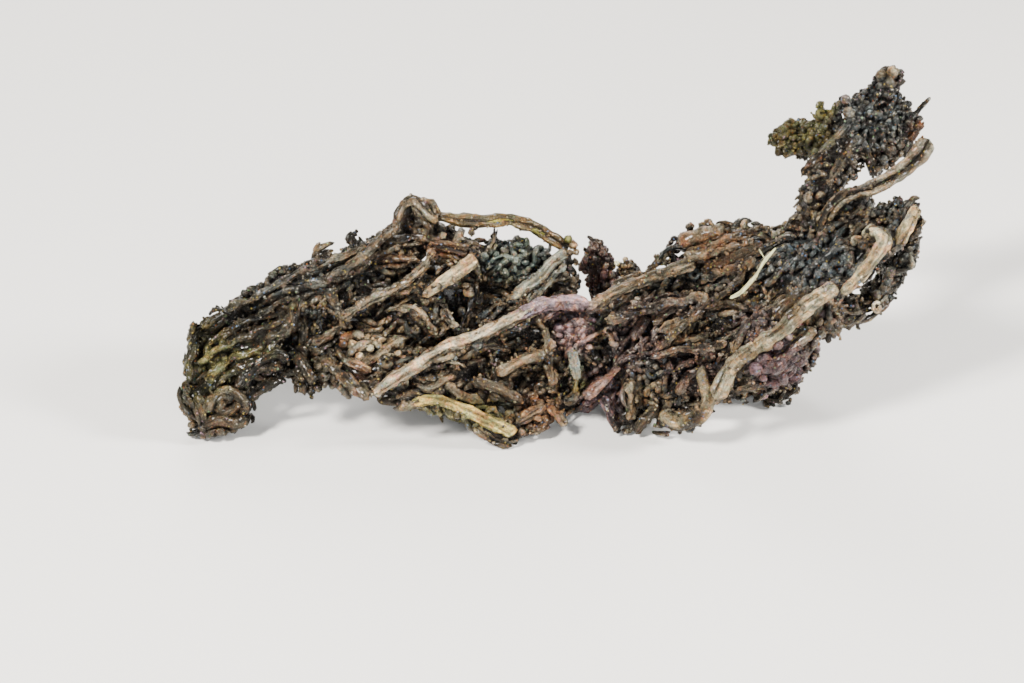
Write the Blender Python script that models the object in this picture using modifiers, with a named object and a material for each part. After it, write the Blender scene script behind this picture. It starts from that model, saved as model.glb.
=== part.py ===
"""Native copper: a branching mass of ribs, wires and knobs that grew together, lying on a table.

Blender 4.5, metres, +Z up. The origin is under the middle of the specimen, on the table.
The copper is one growth. It is parted only at its main forks: two lobes that meet at a narrow
neck, a tower that rises from the right lobe, and a free wire that arches over the left lobe.
A flat plant fibre, which isn't copper, is caught between two ribs of the right lobe.
"""

import math
import random

import bmesh
import bpy
from mathutils import Matrix, Vector

MM = 0.001

# Driving dimensions, in millimetres
LENGTH = 75.0  # the whole specimen from left to right
RIB_SCALE = 1.0  # thickness of every rib and wire
KNOB_RADIUS = (0.5, 0.95)  # smallest and largest of the scattered knobs
TWIG_RADIUS = (0.45, 0.65)  # thinnest and thickest of the scattered twigs
TWIG_LENGTH = (3.0, 7.0)
UNDERCUT = 1.0  # how far the skin runs back for each step down under its low front edge
FORK_GAP = 0.3  # between two branches that are parted at a fork
SINK = 0.9  # how deep the packed bundles lie under the face that the ribs lie on
VOXEL = 0.34  # grain of the fused surface

# The view in which the specimen is measured. Places on it are millimetres across and down
# from the top left corner of that view, and a depth back from the front foot.
VIEW_LENGTH = 74.9  # the specimen's length in the view's own millimetres
VIEW_ELEVATION = math.radians(28)
VIEW_DISTANCE = 227.6
VIEW_CENTRE = (51.2, 34.15)
AIM_BACK = 6.0
AIM_HEIGHT = 8.6
ORIGIN_ACROSS = 4.14
ORIGIN_BACK = 9.61
SCALE = MM * LENGTH / VIEW_LENGTH

COPPER = {"color": (0.215, 0.135, 0.085, 1), "metallic": 0.75, "roughness": 0.42}
FIBRE = {"color": (0.56, 0.55, 0.33, 1), "metallic": 0.0, "roughness": 0.75}


def stand(across, down, back):
    """The place in the object's own frame of a point seen in the view, at a depth back."""
    right = Vector((1, 0, 0))
    forward = Vector((0, math.cos(VIEW_ELEVATION), -math.sin(VIEW_ELEVATION)))
    up = Vector((0, math.sin(VIEW_ELEVATION), math.cos(VIEW_ELEVATION)))
    aim = Vector((0, AIM_BACK, AIM_HEIGHT))
    eye = aim - forward * VIEW_DISTANCE
    on_plane = aim + right * (across - VIEW_CENTRE[0]) + up * (VIEW_CENTRE[1] - down)
    reach = (back - eye.y) / (on_plane.y - eye.y)
    place = eye + (on_plane - eye) * reach
    return (place - Vector((ORIGIN_ACROSS, ORIGIN_BACK, 0))) * SCALE


# The two rails of each lobe's front face: its low front edge and its high back edge,
# as (across, down, back)
FACES = {
    "left": (
        [(18, 41, 0.8), (23, 43, 1.0), (30, 38.5, 1.3), (37.7, 40, -1.5), (43.7, 41.5, -0.3),
         (51, 44.5, 0.0), (57.5, 42.5, 1.8), (61, 41, 3.5)],
        [(18, 34, 6.5), (23, 30.3, 8.1), (30, 26.2, 9.4), (37.7, 23, 12.2), (41, 19.7, 12.8),
         (44, 20.8, 11.7), (51, 24, 11.7), (57.5, 26.5, 12.6), (61, 30, 10.5)],
    ),
    "right": (
        [(58, 42, 2.5), (64, 43, 1.7), (69, 42.5, 0.9), (71.5, 40, -1.8), (76, 36.5, -3.0),
         (82, 31, -2.3), (88, 25, 1.0), (92, 22, 3.0)],
        [(58, 31, 9.8), (61, 30.2, 10.5), (64, 28.3, 13), (69, 24.5, 17), (76, 23.2, 12.6),
         (82, 21.5, 9.0), (88, 20.5, 8.0), (92, 19.8, 6.0)],
    ),
}

# Bundles of wires packed too closely to tell apart, which fill each branch. Those that follow
# a face are (across, down, radius), and the deeper ones (across, down, back, radius).
LEFT_BUNDLES = [
    [(19.8, 39.9, 1.7), (25, 37.0, 1.8), (30, 35.0, 2.1), (37.7, 36.2, 2.2), (43.7, 37.8, 2.6),
     (51, 39.3, 2.9), (57, 38.8, 2.6), (60, 36.3, 2.0)],
    [(20.5, 36.0, 1.9), (30, 31.3, 2.4), (37.7, 31.0, 2.8), (41.2, 31.4, 2.4), (43.4, 31.4, 1.4)],
    [(48.5, 32.6, 2.6), (52, 33.0, 3.3), (57, 33.5, 2.7), (60.5, 33.2, 1.9)],
    [(31.0, 37.0, 0.9), (34.5, 37.2, 1.0), (38.5, 38.7, 1.1), (43.5, 39.7, 1.2), (47.5, 41.4, 1.3),
     (51.2, 43.0, 1.3), (54, 41.6, 1.2)],
    [(20.3, 33.6, 1.2), (25, 31.0, 1.5), (30, 28.6, 1.8), (37.7, 26.0, 2.1), (41.3, 24.0, 1.9),
     (43.6, 24.0, 1.7), (47, 25.9, 1.9), (52, 26.6, 2.0), (56, 28.3, 1.8)],
]
LEFT_DEEP_BUNDLES = [
    [(31, 31.5, 10.5, 2.2), (37, 33.2, 11.8, 2.6), (43, 34.6, 12.8, 3.0), (50, 35.2, 13.4, 3.3),
     (57, 34.8, 13.0, 2.8)],
    [(40, 28.5, 14.0, 2.4), (46, 29.5, 14.2, 2.6), (53, 30.6, 14.2, 2.4)],
    [(46, 35.4, 13.0, 2.4), (47.5, 37.3, 12.9, 1.6)],
    [(53, 35.6, 12.6, 2.4), (54, 37.2, 12.2, 1.6)],
    [(21.3, 38.6, 3.0, 1.5), (20.9, 40.8, 2.4, 1.4), (20.8, 42.3, 2.2, 1.4)],
    [(23.2, 39.6, 3.2, 1.2), (23.6, 41.7, 2.6, 1.1)],
]
RIGHT_BUNDLES = [
    [(65.5, 39.6, 2.2), (71, 37.9, 2.3), (76, 34.4, 2.3), (82, 29.2, 2.1), (87, 24.8, 1.7),
     (90.3, 22.6, 1.2)],
    [(61.3, 35.3, 1.9), (67, 34.6, 3.1), (73, 31.4, 3.5), (79, 28.0, 3.0), (84, 25.0, 2.2)],
    [(60.5, 32.4, 1.5), (65, 30.3, 1.8), (70, 27.6, 2.0), (76, 26.1, 2.1), (81, 23.9, 1.8)],
    [(79, 25.4, 1.7), (82, 23.4, 1.5), (86, 22.6, 1.2), (90, 21.3, 0.8)],
    [(91.4, 23.2, 0.7), (90.3, 25.4, 0.9), (88.4, 28.6, 0.9), (86.9, 29.8, 0.9), (82, 32.2, 1.1)],
    [(61.5, 38.6, 1.5), (62.2, 41.4, 1.0)],
]
RIGHT_DEEP_BUNDLES = [
    [(63.5, 37.4, 8.0, 2.8), (70, 36.4, 10.6, 3.5), (76, 36.2, 11.4, 3.4), (79, 35.0, 10.8, 2.8)],
    [(67, 32.5, 14.5, 2.6), (74, 31.0, 15.0, 3.0), (80, 28.5, 12.5, 2.6)],
    [(77.4, 36.4, 10.4, 1.9), (77.8, 38.4, 9.6, 1.5), (77.9, 39.4, 9.0, 1.3)],
    [(80.4, 25.6, 11.0, 2.0), (81.8, 22.9, 10.6, 1.8), (82.0, 21.9, 10.2, 1.7)],
    [(67.9, 24.3, 17.4, 0.85), (70.4, 23.3, 16.8, 1.0), (73.4, 23.3, 15.8, 0.9), (77, 24.2, 13.2, 1.1)],
    [(59.7, 25.4, 18.0, 0.85), (60.0, 27.2, 18.0, 1.1), (60.4, 29.0, 17.8, 1.2),
     (64, 30.3, 15.4, 1.3), (67, 31.3, 12.4, 1.7)],
    [(62.8, 26.7, 17.2, 0.5), (63.2, 28.2, 16.8, 0.7), (64.6, 29.4, 16.0, 0.8)],
]
TOWER_DEEP_BUNDLES = [
    [(81.6, 21.6, 9.8, 1.7), (82.3, 18.6, 12.8, 1.6), (84.8, 15.0, 16.8, 1.9), (87.2, 12.0, 19.4, 2.1),
     (88.4, 9.2, 21.0, 1.2)],
    [(85, 14.2, 17.4, 1.6), (81.5, 13.6, 19.4, 1.3), (78.3, 13.6, 20.4, 0.8)],
    [(87, 14.0, 18.4, 1.8), (90.6, 12.7, 19.0, 1.2)],
    [(83.4, 20.9, 10.6, 1.1), (86.2, 20.6, 10.8, 0.8)],
]

# Ribs and wires that lie on a face: radius, height of the rib's middle above the face, and
# the route as (across, down)
LEFT_RIBS = {
    "long_ribbon": (0.92, 0.8, [(37.2, 39.3), (40.2, 37.4), (43.6, 35.7), (47.1, 34.1), (50.7, 32.3),
                                (54.3, 30.8), (56.2, 30.3), (58.2, 30.9)]),
    "second_rib": (0.68, 0.5, [(34.1, 31.9), (35.7, 30.7), (37.5, 29.6), (40.2, 28.5), (42.0, 27.1),
                               (42.9, 26.0), (43.4, 24.8)]),
    "upper_rib": (0.78, 0.2, [(42.5, 29.4), (44.6, 27.7), (46.2, 26.6), (47.6, 25.6)]),
    "edge_rib": (0.62, 0.4, [(40.0, 22.1), (38.1, 24.2), (36.6, 25.3), (35.4, 26.6), (34.0, 27.4),
                             (31.8, 28.1), (29.8, 28.2)]),
    "peak_loop": (0.62, 0.4, [(39.6, 22.8), (40.1, 21.0), (41.1, 20.1), (42.3, 20.4), (43.2, 21.4),
                              (42.6, 22.8)]),
    "curved_rib": (0.65, 0.5, [(29.5, 30.9), (28.6, 32.8), (27.0, 33.9), (24.8, 35.7), (22.9, 36.7),
                               (21.5, 38.0)]),
    "hook_rib": (0.6, 0.7, [(28.7, 36.1), (27.9, 35.3), (26.3, 36.0), (24.9, 36.9), (24.0, 37.8)]),
    "hook_rib_low": (0.5, 0.5, [(28.0, 36.8), (26.3, 36.9), (25.0, 37.8), (24.4, 38.8)]),
    "hem_rib": (0.5, 0.3, [(28.1, 38.0), (26.8, 38.8), (25.6, 39.2), (24.4, 39.4)]),
    "leaf_flake": (0.55, 0.7, [(32.5, 28.9), (33.2, 29.8), (33.8, 30.9)]),
    "crest_rib": (0.55, 0.0, [(36.6, 24.3), (33.5, 25.8), (30.0, 27.0), (27.0, 28.7), (23.0, 30.9),
                              (20.4, 32.4)]),
    "end_rib": (0.6, 0.0, [(19.3, 33.6), (19.0, 36.0), (18.7, 38.8)]),
    "flow_rib_high": (0.55, 0.4, [(20.5, 35.8), (24.0, 34.3), (28.0, 32.4), (31.5, 31.0)]),
    "flow_rib_low": (0.55, 0.4, [(19.4, 39.0), (22.0, 37.4), (25.2, 35.3), (28.3, 34.0)]),
    "knob_rib": (0.75, 0.2, [(29.9, 35.4), (30.6, 37.2), (31.4, 38.2)]),
    "margin_rib": (0.7, 0.1, [(32.4, 36.6), (34.2, 38.0), (36.4, 39.7)]),
    "bottom_rib": (0.9, 0.8, [(40.9, 40.1), (43.6, 40.2), (47.1, 41.4), (50.0, 42.6), (51.4, 43.2)]),
    "bottom_rib_under": (0.55, 0.2, [(46.9, 42.4), (48.9, 43.5), (51.0, 44.3)]),
    "low_cross_rib": (0.75, 0.2, [(47.5, 38.2), (49.8, 38.7), (52.1, 39.9)]),
    "mid_cross_rib": (0.72, 0.0, [(49.5, 37.3), (52.1, 36.2), (54.5, 35.5)]),
    "top_cross_rib": (0.62, 0.8, [(51.4, 29.8), (53.6, 28.2), (55.7, 26.1), (56.6, 25.4)]),
    "top_cross_rib_low": (0.58, 0.5, [(53.9, 29.4), (55.2, 27.9), (56.6, 26.6)]),
    "hollow_right_rib": (0.5, 0.2, [(45.9, 32.9), (47.0, 30.7), (47.2, 28.7)]),
    "hollow_left_finger": (0.5, 0.3, [(44.5, 31.1), (45.4, 33.0)]),
    "foot_knuckle": (0.7, 0.2, [(51.6, 42.4), (53.0, 41.4), (54.5, 40.6)]),
    "foot_finger": (0.6, 0.2, [(54.9, 40.6), (55.6, 41.6), (56.3, 42.5)]),
    "neck_post": (0.6, 0.0, [(54.8, 35.1), (55.2, 38.4)]),
    "neck_post_right": (0.6, 0.5, [(57.1, 34.9), (57.9, 38.4)]),
    "neck_sill": (0.6, 0.3, [(56.4, 40.1), (58.6, 39.2)]),
}
RIGHT_RIBS = {
    "ridge_ribbon": (0.8, 0.5, [(59.4, 30.5), (60.6, 30.1), (62.9, 28.8), (65.5, 27.7), (68.1, 26.8),
                                (69.8, 26.2)]),
    "second_ribbon": (0.65, 0.5, [(61.7, 31.6), (64.3, 30.7), (67.2, 29.9), (70.6, 29.9)]),
    "high_rib": (0.55, 0.5, [(70.1, 24.9), (73.2, 23.9), (76.7, 23.1)]),
    "high_rib_low": (0.6, 0.4, [(70.3, 26.3), (73.2, 25.3), (76.3, 24.3)]),
    "plate_rib": (0.8, 0.2, [(70.6, 27.6), (72.8, 26.9), (75.2, 26.0)]),
    "steep_rib": (0.55, 0.6, [(65.3, 35.4), (68.1, 33.0), (70.6, 30.6), (73.2, 28.7), (74.1, 27.1)]),
    "level_rib": (0.58, 0.6, [(65.0, 35.8), (68.1, 35.1), (70.6, 34.9), (72.4, 34.5)]),
    "front_rib": (0.85, 0.9, [(71.7, 39.7), (72.4, 38.3), (73.6, 36.6), (75.8, 34.9), (78.4, 33.0),
                              (80.1, 31.4), (82.0, 29.8), (83.6, 28.6)]),
    "bowed_rib": (0.82, 1.0, [(84.4, 29.4), (86.5, 27.0), (87.9, 25.5), (88.6, 24.3), (87.9, 23.6),
                              (86.6, 23.9)]),
    "rim_rib": (0.75, 0.6, [(89.2, 24.6), (90.6, 22.9), (91.4, 21.1), (91.8, 20.4)]),
    "beaded_rim_high": (0.65, 0.2, [(86.9, 23.0), (87.6, 21.7), (89.2, 20.7), (91.0, 20.4)]),
    "beaded_rim_low": (0.65, 0.1, [(91.2, 24.8), (89.7, 26.7), (88.3, 28.6), (87.7, 30.2)]),
    "rim_spur": (0.6, 0.1, [(90.9, 23.8), (92.2, 22.2)]),
    "hook_ring": (0.8, 0.9, [(70.3, 36.4), (70.3, 38.3), (70.6, 40.2), (69.9, 41.7), (68.5, 42.5),
                             (67.1, 42.2), (66.3, 41.2)]),
    "hook_inner": (0.6, 0.5, [(69.8, 36.8), (68.7, 37.8), (68.2, 39.4)]),
    "left_finger": (0.62, 0.4, [(65.6, 40.6), (64.4, 41.8), (63.5, 43.2)]),
    "left_post": (0.7, 0.3, [(62.6, 37.6), (62.9, 39.6), (62.9, 41.7)]),
    "neck_blade": (0.6, 0.7, [(58.7, 39.9), (60.5, 38.2), (61.9, 36.6)]),
    "neck_drop": (0.6, 0.4, [(60.2, 39.0), (61.0, 41.2), (61.7, 42.8)]),
    "underknob": (0.85, 0.2, [(75.2, 37.4), (77.4, 36.4), (79.4, 34.6), (81.5, 32.8)]),
    "underknob_low": (0.7, 0.0, [(73.5, 39.2), (75.2, 38.6), (76.6, 38.0)]),
}

# Free wires and the tower's ribs: radius, and the route as (across, down, back)
ARCH_WIRE = (0.7, [(44.2, 21.6, 11.3), (46.4, 22.2, 11.4), (49.0, 22.1, 11.6), (51.2, 22.0, 11.9),
                   (53.2, 22.6, 12.4), (55.2, 23.7, 13.0), (56.7, 24.6, 13.6)])
ARCH_KNOBS = [(47.1, 22.9, 11.4, 0.55), (56.9, 23.9, 13.6, 0.65)]
SWEPT_WIRE = (0.85, [(81.7, 21.6, 9.0), (83.1, 20.6, 8.9), (85.1, 19.4, 8.8), (87.4, 18.6, 8.8),
                     (90.0, 17.3, 8.9), (91.8, 15.8, 9.1), (92.7, 14.3, 9.3)])
TOWER_RIBS = {
    "tower_rib_left": (0.65, [(80.5, 17.2, 14.5), (82.6, 15.2, 15.4), (84.7, 13.0, 16.6), (85.4, 11.7, 17.6)]),
    "tower_rib_right": (0.75, [(82.8, 19.2, 11.6), (84.0, 17.1, 13.4), (85.4, 14.7, 15.2), (85.8, 13.8, 15.8)]),
    "tower_spike": (0.42, [(90.4, 12.6, 18.4), (91.4, 11.4, 18.2), (92.4, 10.2, 18.0)]),
    "tower_drip": (0.6, [(86.3, 14.4, 16.6), (86.9, 16.2, 16.0)]),
    "tower_foot": (0.6, [(84.6, 21.6, 9.4), (86.3, 20.2, 9.4)]),
}

# Knobs that stand out of the outline: (across, down, back, radius)
LEFT_KNOBS = [
    (19.6, 33.2, 7.0, 0.8), (25.2, 29.6, 8.6, 0.7), (27.9, 27.7, 9.2, 0.75), (32.4, 25.2, 10.6, 0.7),
    (35.2, 23.8, 11.6, 0.7), (19.0, 40.2, 1.6, 0.9), (19.9, 43.1, 1.7, 0.9), (22.4, 43.2, 1.5, 0.85),
    (24.6, 41.2, 2.2, 0.8), (30.2, 38.2, 1.6, 0.8), (31.6, 38.4, 1.6, 0.7), (42.2, 21.0, 12.6, 0.7),
    (57.0, 25.8, 13.0, 0.7), (49.4, 24.2, 12.6, 0.7), (52.0, 24.4, 12.8, 0.7), (54.2, 25.4, 13.0, 0.65),
    (53.8, 42.4, 1.4, 0.8), (56.2, 42.2, 2.0, 0.75), (51.2, 44.0, 0.4, 0.8), (47.8, 30.0, 8.4, 0.8),
    (57.8, 32.8, 8.8, 0.8), (58.8, 34.2, 8.6, 0.8), (59.2, 36.6, 7.0, 0.8), (58.0, 38.8, 4.8, 0.75),
]
RIGHT_KNOBS = [
    (59.7, 24.9, 18.0, 0.75), (60.7, 26.2, 18.0, 0.7), (59.2, 27.6, 18.0, 0.7), (62.6, 26.2, 17.2, 0.55),
    (61.8, 43.0, 2.4, 0.7), (61.3, 41.6, 2.6, 0.75), (62.9, 42.0, 2.3, 0.7), (66.2, 42.6, 1.7, 0.8),
    (69.6, 23.3, 17.0, 0.9), (72.6, 22.9, 16.4, 0.8), (79.6, 22.4, 10.4, 0.8), (73.2, 39.6, -0.8, 0.8),
    (76.4, 38.6, 0.8, 0.85), (78.2, 36.8, -0.6, 0.9), (79.6, 35.2, -0.6, 0.95), (77.2, 37.8, 0.2, 0.9),
    (77.6, 39.8, 8.6, 1.2), (80.6, 33.8, -0.4, 0.9), (83.0, 31.4, 0.0, 0.9), (85.2, 30.4, 1.0, 0.8),
    (87.6, 30.2, 5.4, 0.8), (90.4, 20.6, 5.6, 0.7), (88.6, 20.9, 6.6, 0.7), (92.4, 22.2, 3.6, 0.7),
    (90.6, 26.3, 4.0, 0.75), (89.1, 28.2, 5.0, 0.7), (86.9, 22.2, 7.0, 0.7), (67.2, 25.6, 15.4, 0.8),
]
TOWER_KNOBS = [
    (88.9, 7.7, 21.4, 1.15), (87.9, 8.3, 21.2, 0.7), (77.6, 13.7, 20.6, 0.7), (79.4, 12.7, 20.0, 0.85),
    (80.2, 14.6, 19.4, 0.85), (78.6, 14.9, 20.0, 0.65), (82.4, 11.4, 19.6, 0.85), (84.2, 10.6, 19.6, 0.8),
    (86.4, 9.8, 20.4, 0.8), (91.2, 13.6, 18.6, 0.8), (90.0, 10.6, 20.0, 0.8), (88.6, 15.6, 16.8, 1.05),
    (90.4, 14.8, 17.6, 0.85), (80.0, 20.7, 11.0, 0.6), (81.0, 16.2, 15.4, 0.6), (91.6, 12.2, 18.8, 0.65),
    (89.4, 11.6, 18.6, 0.9), (87.6, 17.0, 15.4, 0.7), (82.4, 16.8, 14.6, 0.8), (83.0, 12.8, 18.0, 0.9),
]

PLANT_FIBRE = (0.3, [(73.0, 29.7), (74.6, 28.5), (75.8, 27.0), (76.7, 25.7), (77.4, 24.8)])
PLANT_FIBRE_LIFT = 1.9


def face_back(side, across, down):
    """Depth of a lobe's front face where it is seen at (across, down)."""
    def along(rail):
        for near, far in zip(rail, rail[1:]):
            if across <= far[0] or far is rail[-1]:
                share = (across - near[0]) / (far[0] - near[0])
                share = min(1.0, max(0.0, share))
                return [n + (f - n) * share for n, f in zip(near, far)]
    low, high = (along(rail) for rail in FACES[side])
    if down > low[1]:
        return low[2] + (down - low[1]) * UNDERCUT
    share = (low[1] - down) / (low[1] - high[1])
    return low[2] + (high[2] - low[2]) * share


def new_object(name, mesh, collection):
    made = bpy.data.objects.new(name, mesh)
    collection.objects.link(made)
    return made


def material(name, look):
    made = bpy.data.materials.new(name)
    made.use_nodes = True
    shader = made.node_tree.nodes["Principled BSDF"]
    shader.inputs["Base Color"].default_value = look["color"]
    shader.inputs["Metallic"].default_value = look["metallic"]
    shader.inputs["Roughness"].default_value = look["roughness"]
    return made


def swept_mesh(places, radii, collection):
    """A mesh of one round wire through the places, thick as its radii say, with closed ends."""
    curve = bpy.data.curves.new("wire", "CURVE")
    curve.dimensions = "3D"
    curve.resolution_u = 5
    curve.bevel_depth = 1.0
    curve.bevel_resolution = 2
    curve.use_fill_caps = True
    spline = curve.splines.new("BEZIER")
    spline.bezier_points.add(len(places) - 1)
    for point, place, radius in zip(spline.bezier_points, places, radii):
        point.co = place
        point.radius = radius
        point.handle_left_type = point.handle_right_type = "AUTO"
    wire = new_object("wire", curve, collection)
    bpy.context.view_layer.update()
    mesh = bpy.data.meshes.new_from_object(wire.evaluated_get(bpy.context.evaluated_depsgraph_get()))
    bpy.data.objects.remove(wire)
    shape = bmesh.new()
    shape.from_mesh(mesh)
    bmesh.ops.remove_doubles(shape, verts=shape.verts, dist=0.000001)
    shape.to_mesh(mesh)
    shape.free()
    return mesh


def rib_radii(radius, count):
    """A rib is fullest in its middle and tapers a little to both ends."""
    return [radius * (0.72 + 0.28 * math.sin(math.pi * (n + 0.5) / count)) for n in range(count)]


def bundle_wires(side, bundles):
    """Bundles under a face, as (places, radii)."""
    for bundle in bundles:
        places = [stand(a, d, face_back(side, a, d) + r + SINK) for a, d, r in bundle]
        yield places, [r * SCALE for _, _, r in bundle]


def deep_wires(bundles):
    """Bundles at depths of their own, as (places, radii)."""
    for bundle in bundles:
        yield [stand(a, d, b) for a, d, b, _ in bundle], [r * SCALE for _, _, _, r in bundle]


def face_wires(side, ribs):
    """Ribs on a face, as (places, radii)."""
    for radius, lift, route in ribs.values():
        places = [stand(a, d, face_back(side, a, d) - lift) for a, d in route]
        yield places, [r * RIB_SCALE * SCALE for r in rib_radii(radius, len(route))]


def free_wires(ribs):
    """Wires at depths of their own, as (places, radii)."""
    for radius, route in ribs:
        places = [stand(*point) for point in route]
        yield places, [r * RIB_SCALE * SCALE for r in rib_radii(radius, len(route))]


def scattered_knobs(wires, per_wire, seed):
    """Knobs grown on the bundles at random, all the way round, as (place, radius)."""
    pick = random.Random(seed)
    for places, radii in wires:
        for _ in range(per_wire):
            leg = pick.randrange(len(places) - 1)
            share = pick.random()
            middle = places[leg].lerp(places[leg + 1], share)
            reach = radii[leg] + (radii[leg + 1] - radii[leg]) * share
            way = Vector([pick.gauss(0, 1) for _ in range(3)]).normalized()
            yield middle + way * reach * 0.95, pick.uniform(*KNOB_RADIUS) * SCALE


def scattered_twigs(wires, per_wire, seed):
    """Twigs that lie on the bundles at random, more or less along them, as (places, radii)."""
    pick = random.Random(seed)
    for places, radii in wires:
        for _ in range(per_wire):
            leg = pick.randrange(len(places) - 1)
            near, far = places[leg], places[leg + 1]
            along = (far - near).normalized()
            half = pick.uniform(*TWIG_LENGTH) * SCALE / 2 / (far - near).length
            middle = pick.random()
            stations = [min(1.0, max(0.0, middle + half * n)) for n in (-1, 0, 1)]
            way = along.cross(Vector([pick.gauss(0, 1) for _ in range(3)])).normalized()
            turn = pick.gauss(0, 0.45)
            twig = []
            for n, station in zip((-1, 0, 1), stations):
                reach = radii[leg] + (radii[leg + 1] - radii[leg]) * station
                twig.append(near.lerp(far, station) + Matrix.Rotation(turn * n, 3, along) @ way * reach)
            radius = pick.uniform(*TWIG_RADIUS) * SCALE
            yield twig, [radius * 0.8, radius, radius * 0.75]


def placed_knobs(knobs):
    """Knobs put in place by hand, as (place, radius)."""
    return [(stand(a, d, b), r * SCALE) for a, d, b, r in knobs]


def straw_tube(name, collection):
    """The plant fibre, a thin tube a little in front of the right lobe's face."""
    radius, route = PLANT_FIBRE
    places = [stand(a, d, face_back("right", a, d) - PLANT_FIBRE_LIFT) for a, d in route]
    return new_object(name, swept_mesh(places, [radius * SCALE] * len(route), collection), collection)


def joined_shape(wires, knobs, collection):
    """All the wires and knobs of a branch in one mesh, still overlapping."""
    shape = bmesh.new()
    for places, radii in wires:
        mesh = swept_mesh(places, radii, collection)
        shape.from_mesh(mesh)
        bpy.data.meshes.remove(mesh)
    ends = [(places[n], radii[n]) for places, radii in wires for n in (0, -1)]
    for place, radius in [*ends, *knobs]:
        bmesh.ops.create_icosphere(
            shape, subdivisions=2, radius=radius, matrix=Matrix.Translation(place))
    return shape


def fused(name, wires, knobs, collection):
    """One closed skin round all the wires and knobs of a branch, as an object."""
    shape = joined_shape(wires, knobs, collection)
    mesh = bpy.data.meshes.new(name)
    shape.to_mesh(mesh)
    shape.free()
    branch = new_object(name, mesh, collection)
    reskin(branch)
    return branch


def reskin(branch):
    """Gives the object one even, closed skin."""
    remesh = branch.modifiers.new("fuse", "REMESH")
    remesh.mode = "VOXEL"
    remesh.voxel_size = VOXEL * SCALE
    bake(branch)
    keep_largest_skin(branch)


def soften(branch):
    """Rounds off the steps that the even skin leaves."""
    smooth = branch.modifiers.new("soften", "SMOOTH")
    smooth.factor = 0.4
    smooth.iterations = 1
    bake(branch)


def thin(branch, triangles):
    """Leaves the object only as many faces as its shape needs."""
    branch.data.calc_loop_triangles()
    fewer = branch.modifiers.new("thin", "DECIMATE")
    fewer.ratio = triangles / len(branch.data.loop_triangles)
    bake(branch)
    keep_largest_skin(branch)


def bake(branch):
    """Applies the object's modifiers to its mesh."""
    graph = bpy.context.evaluated_depsgraph_get()
    graph.update()
    old = branch.data
    branch.data = bpy.data.meshes.new_from_object(branch.evaluated_get(graph))
    branch.data.name = branch.name
    branch.modifiers.clear()
    bpy.data.meshes.remove(old)


def keep_largest_skin(branch):
    """Deletes every skin of the mesh but the largest: loose crumbs, and sealed hollows."""
    shape = bmesh.new()
    shape.from_mesh(branch.data)
    left = set(shape.verts)
    skins = []
    while left:
        skin, edge = set(), [left.pop()]
        while edge:
            vert = edge.pop()
            skin.add(vert)
            for link in vert.link_edges:
                other = link.other_vert(vert)
                if other in left:
                    left.remove(other)
                    edge.append(other)
        skins.append(skin)
    skins.sort(key=len, reverse=True)
    for skin in skins[1:]:
        bmesh.ops.delete(shape, geom=list(skin), context="VERTS")
    shape.to_mesh(branch.data)
    shape.free()


def cut(branch, cutter):
    """Takes the cutter's solid out of the branch, and keeps the branch in one piece."""
    taken = branch.modifiers.new("cut", "BOOLEAN")
    taken.operation = "DIFFERENCE"
    taken.solver = "EXACT"
    taken.object = cutter
    bake(branch)
    keep_largest_skin(branch)


def swollen(name, branch, collection):
    """A cutter with the shape of a branch, larger by the fork gap on every side."""
    made = new_object(name, branch.data.copy(), collection)
    made.hide_render = True
    made.display_type = "WIRE"
    shape = bmesh.new()
    shape.from_mesh(made.data)
    for vert in shape.verts:
        vert.co += vert.normal * FORK_GAP * MM
    shape.to_mesh(made.data)
    shape.free()
    reskin(made)
    return made


def box_cutter(name, low, high, collection):
    """A box between two corners in the object's frame."""
    shape = bmesh.new()
    bmesh.ops.create_cube(shape, size=1.0)
    turned = Matrix.Translation((low + high) / 2) @ Matrix.Diagonal((*(high - low), 1))
    bmesh.ops.transform(shape, matrix=turned, verts=shape.verts)
    mesh = bpy.data.meshes.new(name)
    shape.to_mesh(mesh)
    shape.free()
    made = new_object(name, mesh, collection)
    made.hide_render = True
    made.display_type = "WIRE"
    return made


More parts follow.
